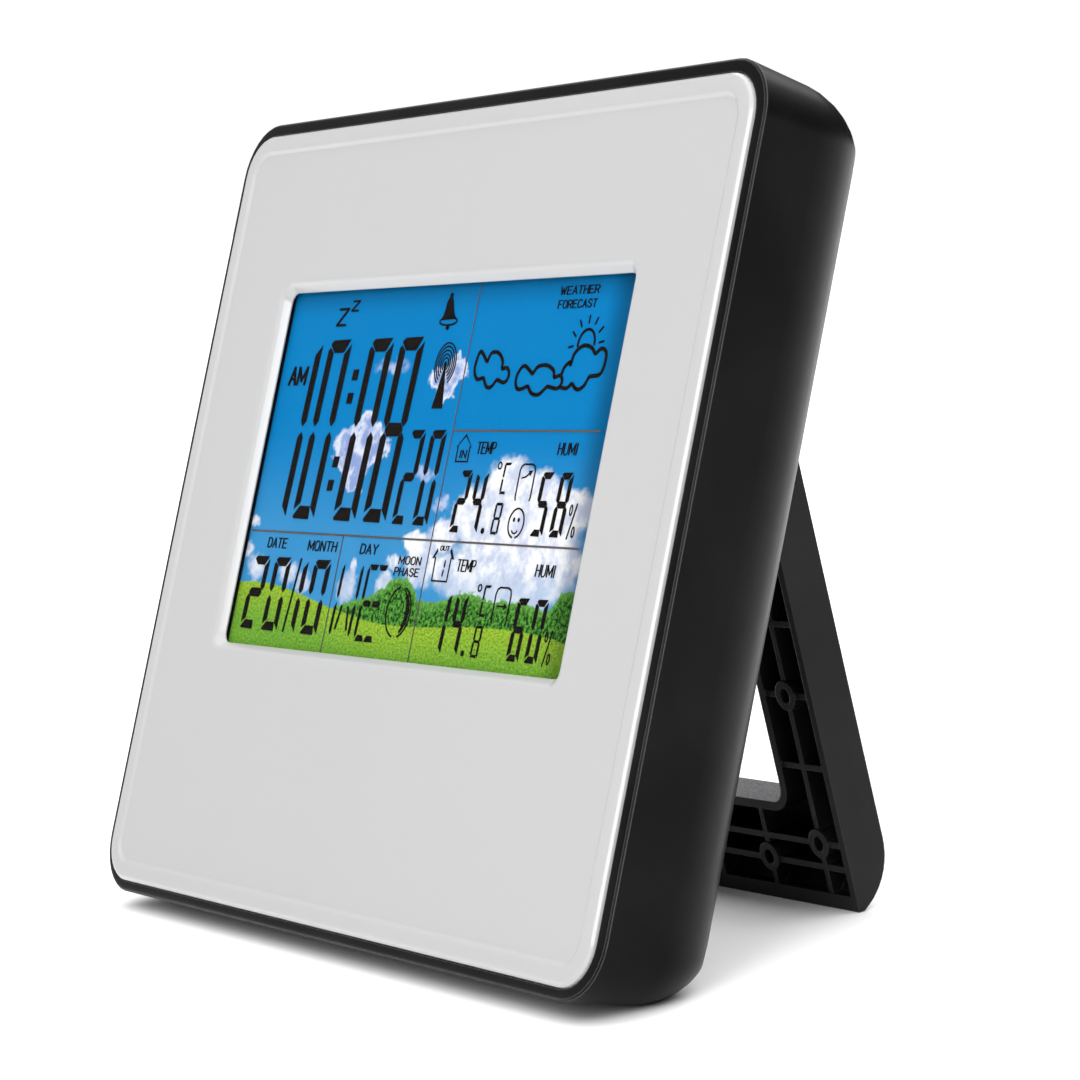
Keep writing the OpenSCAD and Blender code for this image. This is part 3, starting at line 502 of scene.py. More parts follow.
def meadow_layer(g, x, u, flat, behind):
    """The hill of grass, with dark blades and yellow spots."""
    below = skyline(g, x, HILL) + (g.noise(flat, 1.1, 3.0) - 0.5) * 0.5 - u
    blade = g.noise(g.vector("MULTIPLY", flat, Vector((1.0, 1.5, 0))), 1.7, 5.0, 0.7)
    tone = g.mix(g.step(below, 7.0, 0.0), linear(122, 182, 60), linear(164, 201, 56))
    tone = g.mix(g.step(blade, 0.4, 0.64, (0.0, 0.8)), tone, linear(70, 128, 36))
    spots = g.step(g.noise(flat, 2.6, 3.0, 0.6), 0.56, 0.7, (0.0, 0.6))
    tone = g.mix(spots, tone, linear(206, 216, 78))
    return g.mix(g.step(below, -0.1, 0.15), behind, tone)


def picture(name, glow):
    """The display's printed scenery, with a painted shadow of the bezel at its upper and right edges, in a dark
    border.
    """
    g = material_graph(name)
    where = g.place()
    x = g.part("X", where) * 1000.0
    u = (g.dot(where, UP) - UP.dot(ORIGIN)) * 1000.0
    flat = g.node("ShaderNodeCombineXYZ", 0, {"X": x, "Y": u})
    scenery = air_layers(g, u, flat)
    scenery = bush_layer(g, x, u, flat, scenery)
    scenery = meadow_layer(g, x, u, flat, scenery)

    # Painted shadow of the bezel: the scenery is darkened towards its upper and right edges.
    upper = g.step(u, 101.6, 96.5, (0.62, 1.0))
    right = g.step(x, 49.6, 42.5, (0.4, 1.0))
    painted_bezel_shadow = upper * right
    shade = g.node("ShaderNodeCombineXYZ", 0, {0: painted_bezel_shadow, 1: painted_bezel_shadow, 2: painted_bezel_shadow})
    scenery = g.mix(0.9, scenery, shade, "MULTIPLY")

    off_x = g.math("ABSOLUTE", x - PICTURE_MID[0]) - PICTURE_HALF[0]
    off_u = g.math("ABSOLUTE", u - PICTURE_MID[1]) - PICTURE_HALF[1]
    inside = g.step(g.math("MAXIMUM", off_x, off_u), *PICTURE_EDGE)
    tone = g.mix(inside, linear(24, 23, 24), scenery)
    grid = g.noise(flat, 9.0, 1.0)
    return g.finish({
        "Base Color": g.mix(1.0, tone, linear(206, 206, 206), "MULTIPLY"),
        "Emission Color": tone,
        "Emission Strength": glow,
        "Roughness": g.step(grid, 0.2, 0.8, (0.42, 0.5)),
        "Normal": g.bump(grid, 0.004 * MM, 0.4),
        "Specular IOR Level": MATT,
    })


# ---------- the display's ink: segments, symbols and labels ----------
INK_DEPTHS = (2.17, 2.23)  # behind the face, in the gap before the LCD cell
SLANT = 0.0456  # how far the figures lean, for each millimetre of height
LABEL_LEAN = 0.07
SHARP_TURN = 1.0  # radians
SLIMMEST_CORNER = 0.55

# Strokes of plain capitals on a grid 2 wide and 4 high
LETTER_GAP = 0.42
LETTER_WIDTHS = {"M": 1.3, "W": 1.3, "I": 0.15}
ROUND_P = [(0, 0), (0, 4), (1.4, 4), (2, 3.5), (2, 2.4), (1.4, 1.9), (0, 1.9)]
LETTERS = {
    "A": [[(0, 0), (1, 4), (2, 0)], [(0.4, 1.3), (1.6, 1.3)]],
    "C": [[(2, 3.2), (1.4, 4), (0.6, 4), (0, 3.2), (0, 0.8), (0.6, 0), (1.4, 0), (2, 0.8)]],
    "D": [[(0, 0), (0, 4), (1.2, 4), (2, 3.2), (2, 0.8), (1.2, 0), (0, 0)]],
    "E": [[(2, 4), (0, 4), (0, 0), (2, 0)], [(0, 2.1), (1.7, 2.1)]],
    "F": [[(2, 4), (0, 4), (0, 0)], [(0, 2.1), (1.7, 2.1)]],
    "H": [[(0, 0), (0, 4)], [(2, 0), (2, 4)], [(0, 2.1), (2, 2.1)]],
    "I": [[(1, 0), (1, 4)]],
    "M": [[(0, 0), (0, 4), (1, 0.8), (2, 4), (2, 0)]],
    "N": [[(0, 0), (0, 4), (2, 0), (2, 4)]],
    "O": [[
        (0.6, 0), (0, 0.8), (0, 3.2), (0.6, 4), (1.4, 4), (2, 3.2), (2, 0.8), (1.4, 0), (0.6, 0),
    ]],
    "P": [ROUND_P],
    "R": [ROUND_P, [(1, 1.9), (2, 0)]],
    "S": [[
        (2, 3.2), (1.4, 4), (0.6, 4), (0, 3.3), (0, 2.7),
        (2, 1.4), (2, 0.7), (1.4, 0), (0.6, 0), (0, 0.8),
    ]],
    "T": [[(0, 4), (2, 4)], [(1, 4), (1, 0)]],
    "U": [[(0, 4), (0, 0.8), (0.6, 0), (1.4, 0), (2, 0.8), (2, 4)]],
    "W": [[(0, 4), (0.5, 0), (1, 3), (1.5, 0), (2, 4)]],
    "Y": [[(0, 4), (1, 2), (2, 4)], [(1, 2), (1, 0)]],
    "Z": [[(0, 4), (2, 4), (0, 0), (2, 0)]],
}


def ellipse(cx, cy, rx, ry, angles):
    return [(cx + rx * math.cos(a), cy + ry * math.sin(a)) for a in angles]


def mirrored(tip, inner):
    """The point as far beyond tip as inner is before it."""
    return tuple(2 * a - b for a, b in zip(tip, inner))


def spline_point(t, p0, p1, p2, p3):
    """A point on the smooth line through four points, at share t between the middle two."""
    return tuple(
        0.5 * (
            2 * b + (c - a) * t
            + (2 * a - 5 * b + 4 * c - d) * t * t
            + (3 * b - a - 3 * c + d) * t ** 3
        )
        for a, b, c, d in zip(p0, p1, p2, p3)
    )


class Ink:
    """Flat shapes in millimetres on the face, collected into one thin solid mesh."""

    def __init__(self):
        self.mesh = bmesh.new()

    def vert(self, x, depth, up):
        return self.mesh.verts.new((x * MM, depth * MM, up * MM))

    def shape(self, outline):
        front, back = ([self.vert(x, depth, up) for x, up in outline] for depth in INK_DEPTHS)
        self.mesh.faces.new(front)
        self.mesh.faces.new(back[::-1])
        n = len(outline)
        for i in range(n):
            self.mesh.faces.new((front[i], back[i], back[(i + 1) % n], front[(i + 1) % n]))

    def stroke(self, path, width, closed=False, high=None):
        """A line as one closed ribbon, drawn with a round pen or, given high, an oval one."""
        high = width if high is None else high
        near, far = INK_DEPTHS
        n = len(path)
        runs = [Vector(b) - Vector(a) for a, b in zip(path, path[1:] + path[:1])]
        sides = [Vector((-r.y * width / 2, r.x * high / 2)) / r.length for r in runs]
        rings = []
        for i, p in enumerate(path):
            first, last = i - 1, i
            if not closed:
                first, last = max(first, 0), min(last, n - 2)
            side = (sides[first] + sides[last]) / 2
            turn = side.dot(sides[first]) / sides[first].length_squared
            side = side / max(turn, SLIMMEST_CORNER)
            rings.append([
                self.vert(p[0] + sign * side.x, depth, p[1] + sign * side.y)
                for sign, depth in ((1, near), (-1, near), (-1, far), (1, far))
            ])
        for i in range(n if closed else n - 1):
            here, there = rings[i], rings[(i + 1) % n]
            for k in range(4):
                after = (k + 1) % 4
                self.mesh.faces.new((here[k], here[after], there[after], there[k]))
        if not closed:
            self.mesh.faces.new(rings[0][::-1])
            self.mesh.faces.new(rings[-1])

    def arc(self, cx, cy, rx, ry, start, end, width, steps=28):
        whole = end - start == 360
        count = steps if whole else steps + 1
        angles = [math.radians(start + (end - start) * i / steps) for i in range(count)]
        self.stroke(ellipse(cx, cy, rx, ry, angles), width, whole)

    def disc(self, cx, cy, rx, ry, steps=20):
        self.shape(ellipse(cx, cy, rx, ry, [2 * math.pi * i / steps for i in range(steps)]))

    def bulges(self, chains, width, steps=6):
        """Cloud outlines: a smooth line through each chain's points; chains meet in cusps."""
        for chain in chains:
            start, end = mirrored(chain[0], chain[1]), mirrored(chain[-1], chain[-2])
            knots = [start] + chain + [end]
            path = [
                spline_point(s / steps, *four)
                for four in zip(knots, knots[1:], knots[2:], knots[3:])
                for s in range(steps)
            ]
            self.stroke(path + [chain[-1]], width)

    def text(self, words, left, right, base, height, pen):
        """Plain condensed capitals drawn with strokes, filling the given width and height."""
        widths = [LETTER_WIDTHS.get(char, 1.0) for char in words]
        unit = (right - left - pen[0]) / (sum(widths) + LETTER_GAP * (len(words) - 1))
        at = left + pen[0] / 2
        for char, wide in zip(words, widths):
            for line in LETTERS[char]:
                path = []
                for px, py in line:
                    up = base + pen[1] / 2 + py / 4 * (height - pen[1])
                    path.append((at + px / 2 * wide * unit + (up - base) * LABEL_LEAN, up))
                self.pen_line(path, pen)
            at += (wide + LETTER_GAP) * unit

    def pen_line(self, path, pen):
        """A line drawn with an oval pen, as wide and high as pen says.

        Each sharp corner starts a new ribbon.
        """
        parts = [[path[0]]]
        for a, b, c in zip(path, path[1:], path[2:] + [None]):
            parts[-1].append(b)
            if c and (Vector(b) - Vector(a)).angle(Vector(c) - Vector(b)) > SHARP_TURN:
                parts.append([b])
        for part in parts:
            ends = []
            for tip, inner in ((part[0], part[1]), (part[-1], part[-2])):
                out = (Vector(tip) - Vector(inner)).normalized()
                ends.append((tip[0] + out.x * pen[0] * 0.35, tip[1] + out.y * pen[1] * 0.35))
            self.stroke([ends[0]] + part[1:-1] + [ends[1]], pen[0], high=pen[1])

    def build(self, name, material):
        bmesh.ops.recalc_face_normals(self.mesh, faces=self.mesh.faces)
        mesh = bpy.data.meshes.new(name)
        self.mesh.to_mesh(mesh)
        self.mesh.free()
        made = link_object(name, mesh)
        made.matrix_world = FACE
        mesh.materials.append(material)
        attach(made, CASE)


# Which of the seven strokes each figure uses
LIT = {
    "0": "abcdef", "1": "bc", "2": "abged", "4": "fgbc", "5": "afgcd", "6": "afedcg",
    "8": "abcdefg", "C": "afed",
}


def digit(ink, char, right, base, w, h, tv, th):
    """One slanted seven-segment figure, w wide and h high.

    right is its right edge at the top; tv and th are its upright and level strokes' widths.
    """
    gap = 0.24 * tv
    mid = h / 2
    tip = 0.5 * tv
    cut = 0.72 * th
    arm = {
        "a": [
            (0.25 * tv, h - 0.35 * th), (0.7 * tv, h - 0.04 * th), (w - 0.28 * tv, h),
            (w - 1.12 * tv, h - th), (1.15 * tv, h - th),
        ],
        "b": [
            (w, h - 0.38 * th), (w, mid + gap + tip), (w - tv / 2, mid + gap),
            (w - tv, mid + gap + tip), (w - tv, h - 0.42 * th - cut),
        ],
        "c": [
            (w, 0.2 * th), (w, mid - gap - tip), (w - tv / 2, mid - gap),
            (w - tv, mid - gap - tip), (w - tv, 0.2 * th + cut),
        ],
        "d": [
            (0.1 * tv, 0.2 * th), (1.05 * tv, th), (w - 1.12 * tv, 0.98 * th),
            (w - 0.95 * tv, 0), (0.3 * tv, 0.03 * th),
        ],
        "e": [
            (0, 0.72 * th), (0, mid - gap - tip), (tv / 2, mid - gap),
            (tv, mid - gap - tip), (tv, 1.2 * th),
        ],
        "f": [
            (0.3 * tv, h - 0.6 * th), (0, h - 0.8 * th), (0, mid + gap + tip),
            (tv / 2, mid + gap), (tv, mid + gap + tip), (tv, h - 1.0 * th),
        ],
        "g": [
            (0.45 * tv, mid), (0.95 * tv, mid + th / 2), (w - 0.95 * tv, mid + th / 2),
            (w - 0.45 * tv, mid), (w - 0.95 * tv, mid - th / 2), (0.95 * tv, mid - th / 2),
        ],
    }
    for name in LIT[char]:
        ink.shape([(right - w + px - (h - py) * SLANT, base + py) for px, py in arm[name]])


def draw_time():
    ink = Ink()
    for char, right in (("1", -39.85), ("0", -30.2), ("0", -16.55), ("8", -6.85)):
        digit(ink, char, right, 63.2, 7.35, 29.8, 1.85, 2.2)
    for cx, cy in ((-27.0, 87.05), (-27.3, 83.2), (-27.75, 72.75), (-28.05, 68.9)):
        ink.shape([
            (cx - 1.0, cy - 0.9), (cx + 0.8, cy - 0.9), (cx + 0.9, cy + 0.9), (cx - 0.9, cy + 0.9),
        ])
    for char, right in (("2", -0.95), ("0", 5.4)):
        digit(ink, char, right, 63.1, 4.55, 15.0, 1.2, 1.4)
    ink.text("AM", -49.5, -43.4, 85.4, 3.3, pen=(0.75, 0.42))
    ink.text("Z", -36.9, -33.4, 95.2, 3.1, pen=(0.7, 0.42))
    ink.text("Z", -32.7, -30.2, 97.6, 1.9, pen=(0.5, 0.32))
    return ink


def turns(start, stop, step):
    """Angles in radians, from a range given in degrees."""
    return [math.radians(a) for a in range(start, stop, step)]


def draw_bell(ink):
    ink.disc(-1.3, 99.45, 0.5, 0.42)
    ink.shape([
        (-1.75, 99.1), (-0.85, 99.1), (-0.3, 98.4), (0.1, 97.3), (0.6, 96.4),
        (1.5, 95.6), (-3.2, 95.5), (-2.6, 96.4), (-2.4, 97.3), (-2.3, 98.4),
    ])
    ink.arc(-0.85, 95.3, 2.6, 0.62, 0, 360, 0.3)
    ink.disc(-0.75, 94.3, 0.5, 0.42)


def draw_radio_tower(ink):
    ink.shape([(-0.8, 81.45), (2.45, 81.45), (1.15, 87.6), (0.6, 87.6)])
    ink.disc(0.85, 88.2, 0.42, 0.7)
    for share in (0.3, 0.47, 0.65, 0.83, 1.0):
        ring = ellipse(0.8, 88.45, 3.05 * share, 3.4 * share, turns(-58, 239, 8))
        ink.stroke(ring, 0.23)


CLOUD_PEN = 0.62


def draw_forecast(ink):
    """A small cloud, and two clouds before the sun."""
    ink.bulges([
        [(13.2, 88.6), (14.0, 90.0), (16.0, 90.0), (17.6, 88.8), (17.8, 87.5)],
        [(17.8, 87.5), (19.4, 87.6), (20.2, 86.5), (19.3, 85.4), (17.0, 85.9)],
        [(17.0, 85.9), (15.6, 84.7), (14.2, 84.9), (13.0, 86.2)],
        [(13.0, 86.2), (11.2, 86.0), (10.0, 87.2), (10.0, 88.9), (10.8, 90.3), (13.2, 88.6)],
    ], CLOUD_PEN)
    ink.bulges([
        [(26.9, 86.6), (28.0, 87.7), (30.4, 87.9), (32.5, 87.1), (33.0, 86.0)],
        [(33.0, 86.0), (34.6, 86.3), (35.4, 85.5), (34.6, 84.4), (31.6, 84.7)],
        [(31.6, 84.7), (29.6, 83.5), (27.6, 83.7), (26.2, 84.8)],
        [(26.2, 84.8), (23.8, 84.3), (22.6, 85.2), (22.7, 86.8), (24.2, 87.9), (26.9, 86.6)],
        [(34.9, 86.5), (35.4, 87.6), (36.6, 88.3), (36.9, 87.7)],
        [(36.9, 87.7), (37.4, 89.6), (39.4, 90.7), (41.6, 90.4), (43.0, 89.4)],
        [(43.0, 89.4), (44.4, 90.2), (45.8, 89.6), (46.0, 88.0), (45.2, 86.4), (42.5, 86.1)],
        [(42.5, 86.1), (41.4, 84.6), (39.8, 84.2), (38.2, 85.1)],
        [(38.2, 85.1), (37.0, 84.4), (35.4, 84.5)],
    ], CLOUD_PEN)
    ink.arc(40.0, 90.9, 2.2, 2.25, -5, 190, 0.45)
    for ray in (
        [(35.3, 90.5), (36.7, 90.7)], [(35.8, 92.9), (36.9, 92.1)],
        [(37.2, 94.6), (38.0, 93.5)], [(39.7, 95.3), (39.7, 94.0)],
        [(42.0, 94.9), (41.4, 93.8)], [(43.9, 93.5), (42.8, 92.6)],
        [(44.7, 91.3), (43.3, 91.1)],
    ):
        ink.stroke(ray, 0.32)


def draw_trends(ink):
    """Boxes with an arrow in each, and the comfort face."""
    for low, high in ((67.5, 73.0), (49.0, 54.5)):
        ink.stroke([
            (28.9, low), (28.7, low + 0.5), (28.7, high - 1.0), (29.0, high - 0.3), (29.7, high),
            (31.9, high), (32.6, high - 0.3), (32.9, high - 1.0), (32.9, low + 0.5), (32.7, low),
        ], 0.27)
    ink.stroke([(29.5, 70.9), (30.6, 71.1), (31.6, 71.7)], 0.24)
    ink.shape([(32.3, 72.1), (31.2, 72.0), (31.7, 71.2)])
    ink.stroke([(29.5, 51.7), (31.6, 51.7)], 0.24)
    ink.shape([(32.4, 51.7), (31.4, 52.2), (31.4, 51.2)])
    ink.arc(30.35, 64.15, 2.1, 2.2, -80, 260, 0.27)
    ink.disc(29.65, 64.65, 0.26, 0.34)
    ink.disc(30.95, 64.65, 0.26, 0.34)
    ink.arc(30.3, 63.5, 0.9, 0.9, 210, 330, 0.22, steps=8)


def draw_moon(ink):
    ink.arc(1.35, 49.5, 3.6, 3.9, 100, 260, 0.3)
    ink.arc(1.35, 49.5, 3.6, 3.9, -76, 76, 0.3)
    outer = ellipse(1.35, 49.5, 3.15, 3.5, turns(-66, 67, 6))
    inner = ellipse(1.35, 49.5, 2.1, 3.5, turns(60, -61, -6))
    ink.shape(outer + inner)


def draw_houses(ink):
    """The house of the indoor readings, and the open one of the outdoor readings."""
    ink.stroke([
        (9.55, 73.2), (9.55, 75.5), (9.2, 75.5), (11.35, 77.3), (13.4, 75.5), (13.05, 75.5),
        (13.05, 73.2),
    ], 0.26, closed=True)
    ink.stroke([(9.3, 58.4), (9.45, 54.75), (13.85, 54.75), (13.9, 58.4)], 0.26)
    ink.shape([(8.4, 58.2), (9.5, 59.7), (9.7, 59.3), (8.9, 58.2)])
    ink.shape([(14.8, 58.2), (13.6, 59.8), (13.3, 59.4), (14.2, 58.2)])


def draw_symbols():
    ink = Ink()
    draw_bell(ink)
    draw_radio_tower(ink)
    draw_forecast(ink)
    draw_trends(ink)
    draw_moon(ink)
    draw_houses(ink)
    return ink


def draw_climate(ink, base, tall, dot, figures):
    """One row of temperature and humidity. dot is the decimal point's place."""
    for char, right in figures:
        digit(ink, char, right, base, 3.3, tall, 0.9, 1.05)
    ink.disc(dot, base + 0.45, 0.46, 0.46)
    digit(ink, "8", dot + 4.5, base, 2.05, 4.8, 0.4, 0.42)
    digit(ink, "C", dot + 4.75, base + 6.1, 1.9, 4.8, 0.38, 0.42)
    ink.arc(dot + 1.45, base + 10.4, 0.48, 0.5, 0, 360, 0.24, steps=16)
    ink.stroke([(44.7, base - 0.2), (46.0, base + 5.1)], 0.26)
    ink.arc(44.6, base + 4.1, 0.32, 0.75, 0, 360, 0.22, steps=16)
    ink.arc(46.1, base + 0.9, 0.32, 0.75, 0, 360, 0.22, steps=16)


def draw_weekday(ink):
    """Two letters of the day in thinner segments."""
    for low, high, places in (
        (50.9, 56.3, (-18.35, -12.35, -10.3)), (45.0, 50.2, (-18.7, -12.6, -10.55)),
    ):
        for px in places:
            ink.shape([
                (px + 0.3, high), (px - 0.25, high - 0.9), (px - 0.42, low + 0.6),
                (px - 0.1, low), (px + 0.28, low + 0.6), (px + 0.42, high - 0.6),
            ])
    ink.stroke([(-16.5, 49.8), (-17.4, 45.9)], 0.5)
    ink.stroke([(-14.5, 49.7), (-13.8, 45.9)], 0.5)
    for left in (-9.95, -7.1):
        ink.shape([
            (left, 56.6), (left + 2.6, 56.6), (left + 2.1, 55.7), (left + 0.5, 55.7),
        ])
        ink.shape([
            (left - 0.1, 50.4), (left + 0.4, 50.9), (left + 1.9, 50.9),
            (left + 2.3, 50.4), (left + 1.9, 49.9), (left + 0.4, 49.9),
        ])
        ink.shape([
            (left - 0.5, 44.4), (left + 0.1, 45.4), (left + 1.7, 45.4), (left + 2.1, 44.4),
        ])


def draw_readings():
    ink = Ink()
    indoors = (("2", 15.4), ("4", 20.1), ("5", 38.5), ("8", 43.6))
    outdoors = (("1", 16.45), ("4", 21.2), ("6", 38.5), ("0", 43.5))
    draw_climate(ink, 62.3, 9.6, 21.35, indoors)
    draw_climate(ink, 43.8, 9.4, 22.4, outdoors)
    for char, right in (("2", -43.3), ("0", -35.95), ("1", -30.1), ("0", -22.6)):
        digit(ink, char, right, 44.6, 5.4, 12.2, 1.3, 1.5)
    ink.stroke([(-32.75, 56.8), (-34.3, 44.6)], 0.5)
    draw_weekday(ink)
    # The small figure one of the outdoor channel
    ink.shape([(12.5, 58.1), (12.25, 57.8), (12.2, 57.0), (12.4, 56.8), (12.55, 57.0)])
    ink.shape([(12.35, 56.6), (12.15, 56.4), (12.05, 55.6), (12.3, 55.4), (12.45, 56.3)])
    return ink


# Words, left, right, base, height and the pen's width
LABELS = [
    ("TEMP", 15.1, 20.6, 74.4, 1.9, 0.29), ("HUMI", 37.9, 43.2, 74.4, 1.9, 0.29),
    ("TEMP", 16.0, 21.4, 56.4, 1.9, 0.29), ("HUMI", 38.2, 43.5, 56.4, 1.9, 0.29),
    ("IN", 10.35, 12.4, 73.7, 1.3, 0.26), ("OUT", 10.2, 12.9, 59.4, 0.8, 0.2),
    ("DATE", -45.3, -38.7, 58.2, 1.75, 0.33), ("MONTH", -31.5, -21.9, 58.1, 1.75, 0.33),
    ("DAY", -14.3, -8.7, 58.1, 1.7, 0.33), ("MOON", -1.6, 5.2, 56.9, 1.35, 0.26),
    ("PHASE", -2.4, 5.2, 55.1, 1.35, 0.26), ("WEATHER", 30.2, 40.8, 98.5, 1.35, 0.27),
    ("FORECAST", 30.2, 40.8, 96.4, 1.35, 0.27),
]
LABEL_PEN_SHAPE = 0.62  # the pen's height as a share of its width


def draw_labels():
    ink = Ink()
    for words, left, right, base, height, pen in LABELS:
        ink.text(words, left, right, base, height, pen=(pen, pen * LABEL_PEN_SHAPE))
    return ink


def draw_dividers():
    ink = Ink()
    for line, width in (
        ([(7.05, 41.0), (7.05, 101.9)], 0.2), ([(-20.5, 41.0), (-20.5, 60.9)], 0.2),
        ([(7.05, 78.0), (48.4, 78.0)], 0.3), ([(-51.6, 60.95), (48.6, 60.85)], 0.3),
    ):
        ink.stroke(line, width)
    return ink


# ---------- smoother shading of the curved CAD pieces ----------
WELD_DISTANCE = 2e-6
GENTLE_ANGLE = math.radians(28)
SMOOTHED = ["front_panel", "rear_case", "stand"]


def weld_group():
    """Joins a mesh's split corners and smooths it across gentle edges.

    The corner normals that came with the mesh are left out, as they would hide the smooth ones.
    """
    tree = bpy.data.node_groups.new("weld_and_smooth", "GeometryNodeTree")
    for way in ("INPUT", "OUTPUT"):
        tree.interface.new_socket("Geometry", in_out=way, socket_type="NodeSocketGeometry")
    start = tree.nodes.new("NodeGroupInput")
    plain = tree.nodes.new("GeometryNodeRemoveAttribute")
    plain.inputs["Name"].default_value = "custom_normal"
    weld = tree.nodes.new("GeometryNodeMergeByDistance")
    weld.inputs["Distance"].default_value = WELD_DISTANCE
    faces = tree.nodes.new("GeometryNodeSetShadeSmooth")
    edges = tree.nodes.new("GeometryNodeSetShadeSmooth")
    edges.domain = "EDGE"
    angle = tree.nodes.new("GeometryNodeInputMeshEdgeAngle")
    gentle = tree.nodes.new("FunctionNodeCompare")
    gentle.operation = "LESS_THAN"
    gentle.inputs[1].default_value = GENTLE_ANGLE
    end = tree.nodes.new("NodeGroupOutput")
    link = tree.links.new
    link(start.outputs[0], plain.inputs[0])
    link(plain.outputs[0], weld.inputs[0])
    link(weld.outputs[0], faces.inputs[0])
    link(faces.outputs[0], edges.inputs[0])
    link(angle.outputs[0], gentle.inputs[0])
    link(gentle.outputs[0], edges.inputs["Shade Smooth"])
    link(edges.outputs[0], end.inputs[0])
    return tree


def smooth_shading(names):
    tree = weld_group()
    for name in names:
        piece = frame["nodes"][name]
        piece.modifiers.new("weld", "NODES").node_group = tree
        even = piece.modifiers.new("even", "WEIGHTED_NORMAL")
        even.keep_sharp = True
        even.weight = 80


# ---------- materials for every node ----------
def grey(value):
    return linear(value, value, value)


# Each surface's maker, its arguments, and the settings that differ from the maker's own
SURFACES = {
    "panel_white": (glossy_panel, (grey(166), grey(169)), {}),
    # The case's lighter second colour goes onto its edges as a painted highlight as well as wear.
    "case_black": (
        moulded, (linear(4, 4, 5), linear(126, 126, 128), 0.33, 0.16, 0.006),
        {"cloud": 0.004, "sheen": 0.075},
    ),
    # The stand's sill colour is painted light on the up-facing sill of its opening.
    "stand_black": (
        moulded, (linear(12, 12, 13), linear(70, 70, 72), 0.4, 0.2, 0.012, 0.3),
        {"cloud": 0.02, "sheen": 0.2, "painted_sill_light": linear(118, 118, 120)},
    ),
    "key_grey": (moulded, (linear(52, 52, 55), linear(92, 92, 96), 0.4, 0.18, 0.005, 0.3), {}),
    "holder_black": (moulded, (linear(34, 34, 35), linear(60, 60, 62), 0.5, 0.2, 0.006), {}),
    "switch_black": (moulded, (grey(24), grey(50), 0.45, 0.2, 0.006), {}),
    "lcd_cell": (picture, (0.13,), {}),
    "film_print": (picture, (0.05,), {}),
    "guide_clear": (
        coloured, (linear(232, 238, 240), linear(246, 250, 250), 0.08, 120.0, 0.002),
        {"alpha": 0.75},
    ),
    "sheet_white": (coloured, (linear(244, 244, 242), grey(232), 0.6, 500.0), {}),
    "led_yellow": (
        coloured, (linear(240, 222, 120), linear(250, 240, 190), 0.2, 900.0, 0.004), {},
    ),
    "zebra_rubber": (coloured, (linear(206, 140, 156), linear(60, 50, 54), 0.6, 2600.0), {}),
    "board_green": (board_material, (), {}),
    "resin_black": (coloured, (linear(14, 14, 15), linear(24, 24, 26), 0.16, 320.0, 0.05), {}),
    "component_mixed": (coloured, (linear(58, 60, 84), grey(150), 0.35, 160.0), {}),
    "wire_copper": (metal, (linear(196, 120, 66), linear(150, 82, 44), 0.3), {}),
    "ferrite_dark": (coloured, (linear(52, 52, 54), linear(74, 74, 76), 0.55, 900.0, 0.02), {}),
    "sensor_white": (coloured, (linear(240, 240, 234), linear(222, 222, 214), 0.3, 600.0), {}),
    "cable_grey": (coloured, (grey(190), linear(170, 170, 172), 0.5, 600.0), {}),
    "wire_red": (coloured, (linear(190, 28, 26), linear(150, 18, 20), 0.45, 600.0), {}),
    "wire_black": (coloured, (linear(26, 26, 28), linear(48, 48, 50), 0.45, 600.0), {}),
    "cell_wrap": (cell_material, (), {}),
    "contact_steel": (metal, (linear(206, 206, 208), linear(176, 176, 180), 0.26), {}),
    "flex_amber": (coloured, (linear(206, 150, 70), linear(180, 122, 52), 0.35, 260.0), {}),
    "screw_steel": (
        metal, (linear(160, 160, 164), linear(110, 110, 114), 0.34), {"stretch": (8, 1, 1)},
    ),
    "lens_clear": (lens_material, (), {}),
}


def dress():
    looks = {
        name: make(name, *values, **settings)
        for name, (make, values, settings) in SURFACES.items()
    }
    slots = {row["node"]: row["material_slot"] for row in frame["record"]["subparts"]}
    for name, piece in frame["nodes"].items():
        piece.data.materials.clear()
        piece.data.materials.append(looks[slots[name]])


def add_display_ink():
    ink = ink_material("display_ink", linear(14, 11, 10), linear(22, 18, 15), 120.0)
    line = ink_material("display_line", linear(74, 70, 70), linear(88, 82, 82), 200.0)
    draw_time().build("display_time", ink)
    draw_symbols().build("display_symbols", ink)
    draw_readings().build("display_readings", ink)
    draw_labels().build("display_labels", ink)
    draw_dividers().build("display_dividers", line)


# ---------- floor and light ----------
FLOOR_HALF = 12  # metres


def add_floor():
    mesh = bpy.data.meshes.new("floor")
    made = bmesh.new()
    bmesh.ops.create_grid(made, x_segments=8, y_segments=8, size=FLOOR_HALF)
    made.to_mesh(mesh)
    made.free()
    floor = link_object("floor", mesh)
    g = material_graph("floor")
    where = g.place()
    broad = g.noise(where, 2.0, 3.0)
    mesh.materials.append(g.finish({
        "Base Color": g.mix(broad, linear(243, 243, 244), linear(248, 248, 248)),
        "Roughness": g.step(broad, 0.2, 0.8, (0.6, 0.7)),
        "Specular IOR Level": 0.2,
    }))


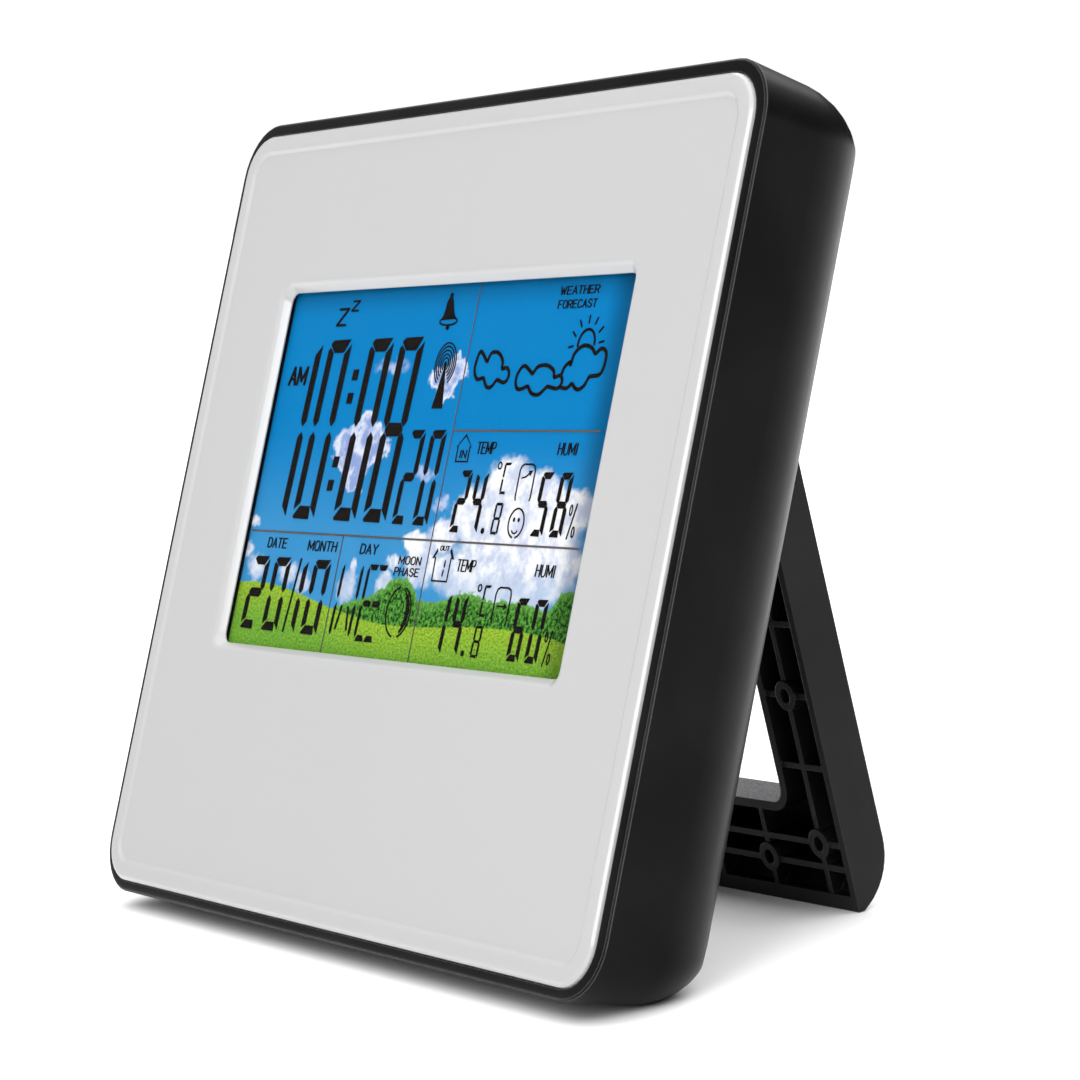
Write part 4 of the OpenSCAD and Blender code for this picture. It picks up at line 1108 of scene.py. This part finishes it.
DOME_GLOW = (0.16, 2.5)  # at the horizon and high up
DARK_SIDE = (0.5, 0.87, 0.0)
DARK_SHARE = 0.95
CALM_SIDE = (-0.85, -0.52, 0.0)
CALM_GLOW = 0.55
BACKDROP = 1.02


def add_world():
    """A soft white dome for light, dark low down at the right and even at the left.

    The camera sees plain white.
    """
    world = bpy.data.worlds.new("studio")
    bpy.context.scene.world = world
    g = Graph(world)
    way = g.node("ShaderNodeTexCoord", "Generated", {})
    height = g.part("Z", way)
    side = g.dot(way, Vector(DARK_SIDE))
    glow = g.step(height, 0.0, 0.85, DOME_GLOW)
    dark = g.step(side, -0.1, 0.5) * g.step(height, 0.62, 0.25)
    calm = g.step(g.dot(way, Vector(CALM_SIDE)), 0.35, 0.85)
    glow = glow * (1.0 - dark * DARK_SHARE) * (1.0 - calm) + calm * CALM_GLOW
    seen = g.node("ShaderNodeLightPath", "Is Camera Ray", {})
    plain = g.node("ShaderNodeMix", 0, {0: seen, 2: glow, 3: BACKDROP}, data_type="FLOAT")
    back = g.node("ShaderNodeBackground", 0, {"Color": (1, 1, 1, 1), "Strength": plain})
    g.close(back, "ShaderNodeOutputWorld")


# Each lamp's place and size in metres, and its power in watts; all aim at the object's middle
LAMPS = {
    "key": ((-0.2, -0.45, 1.45), (0.9, 0.9), 0.3),
    "softbox": ((0.7, -0.86, 0.6), (0.34, 0.8), 5.9),
    "back": ((-0.35, 0.9, 0.85), (0.6, 0.4), 2.2),
}
LAMP_AIM = (0, 0, 0.06)


def add_lamps():
    for name, (place, size, power) in LAMPS.items():
        data = bpy.data.lights.new(name, "AREA")
        data.shape = "RECTANGLE"
        data.size, data.size_y = size
        data.energy = power
        lamp = link_object(name, data)
        lamp.location = place
        way = Vector(LAMP_AIM) - Vector(place)
        lamp.rotation_euler = way.to_track_quat("-Z", "Y").to_euler()


# ---------- build ----------
add_camera()
dress()
smooth_shading(SMOOTHED)
add_display_ink()
add_floor()
add_world()
add_lamps()
bpy.context.scene.view_settings.view_transform = "Standard"
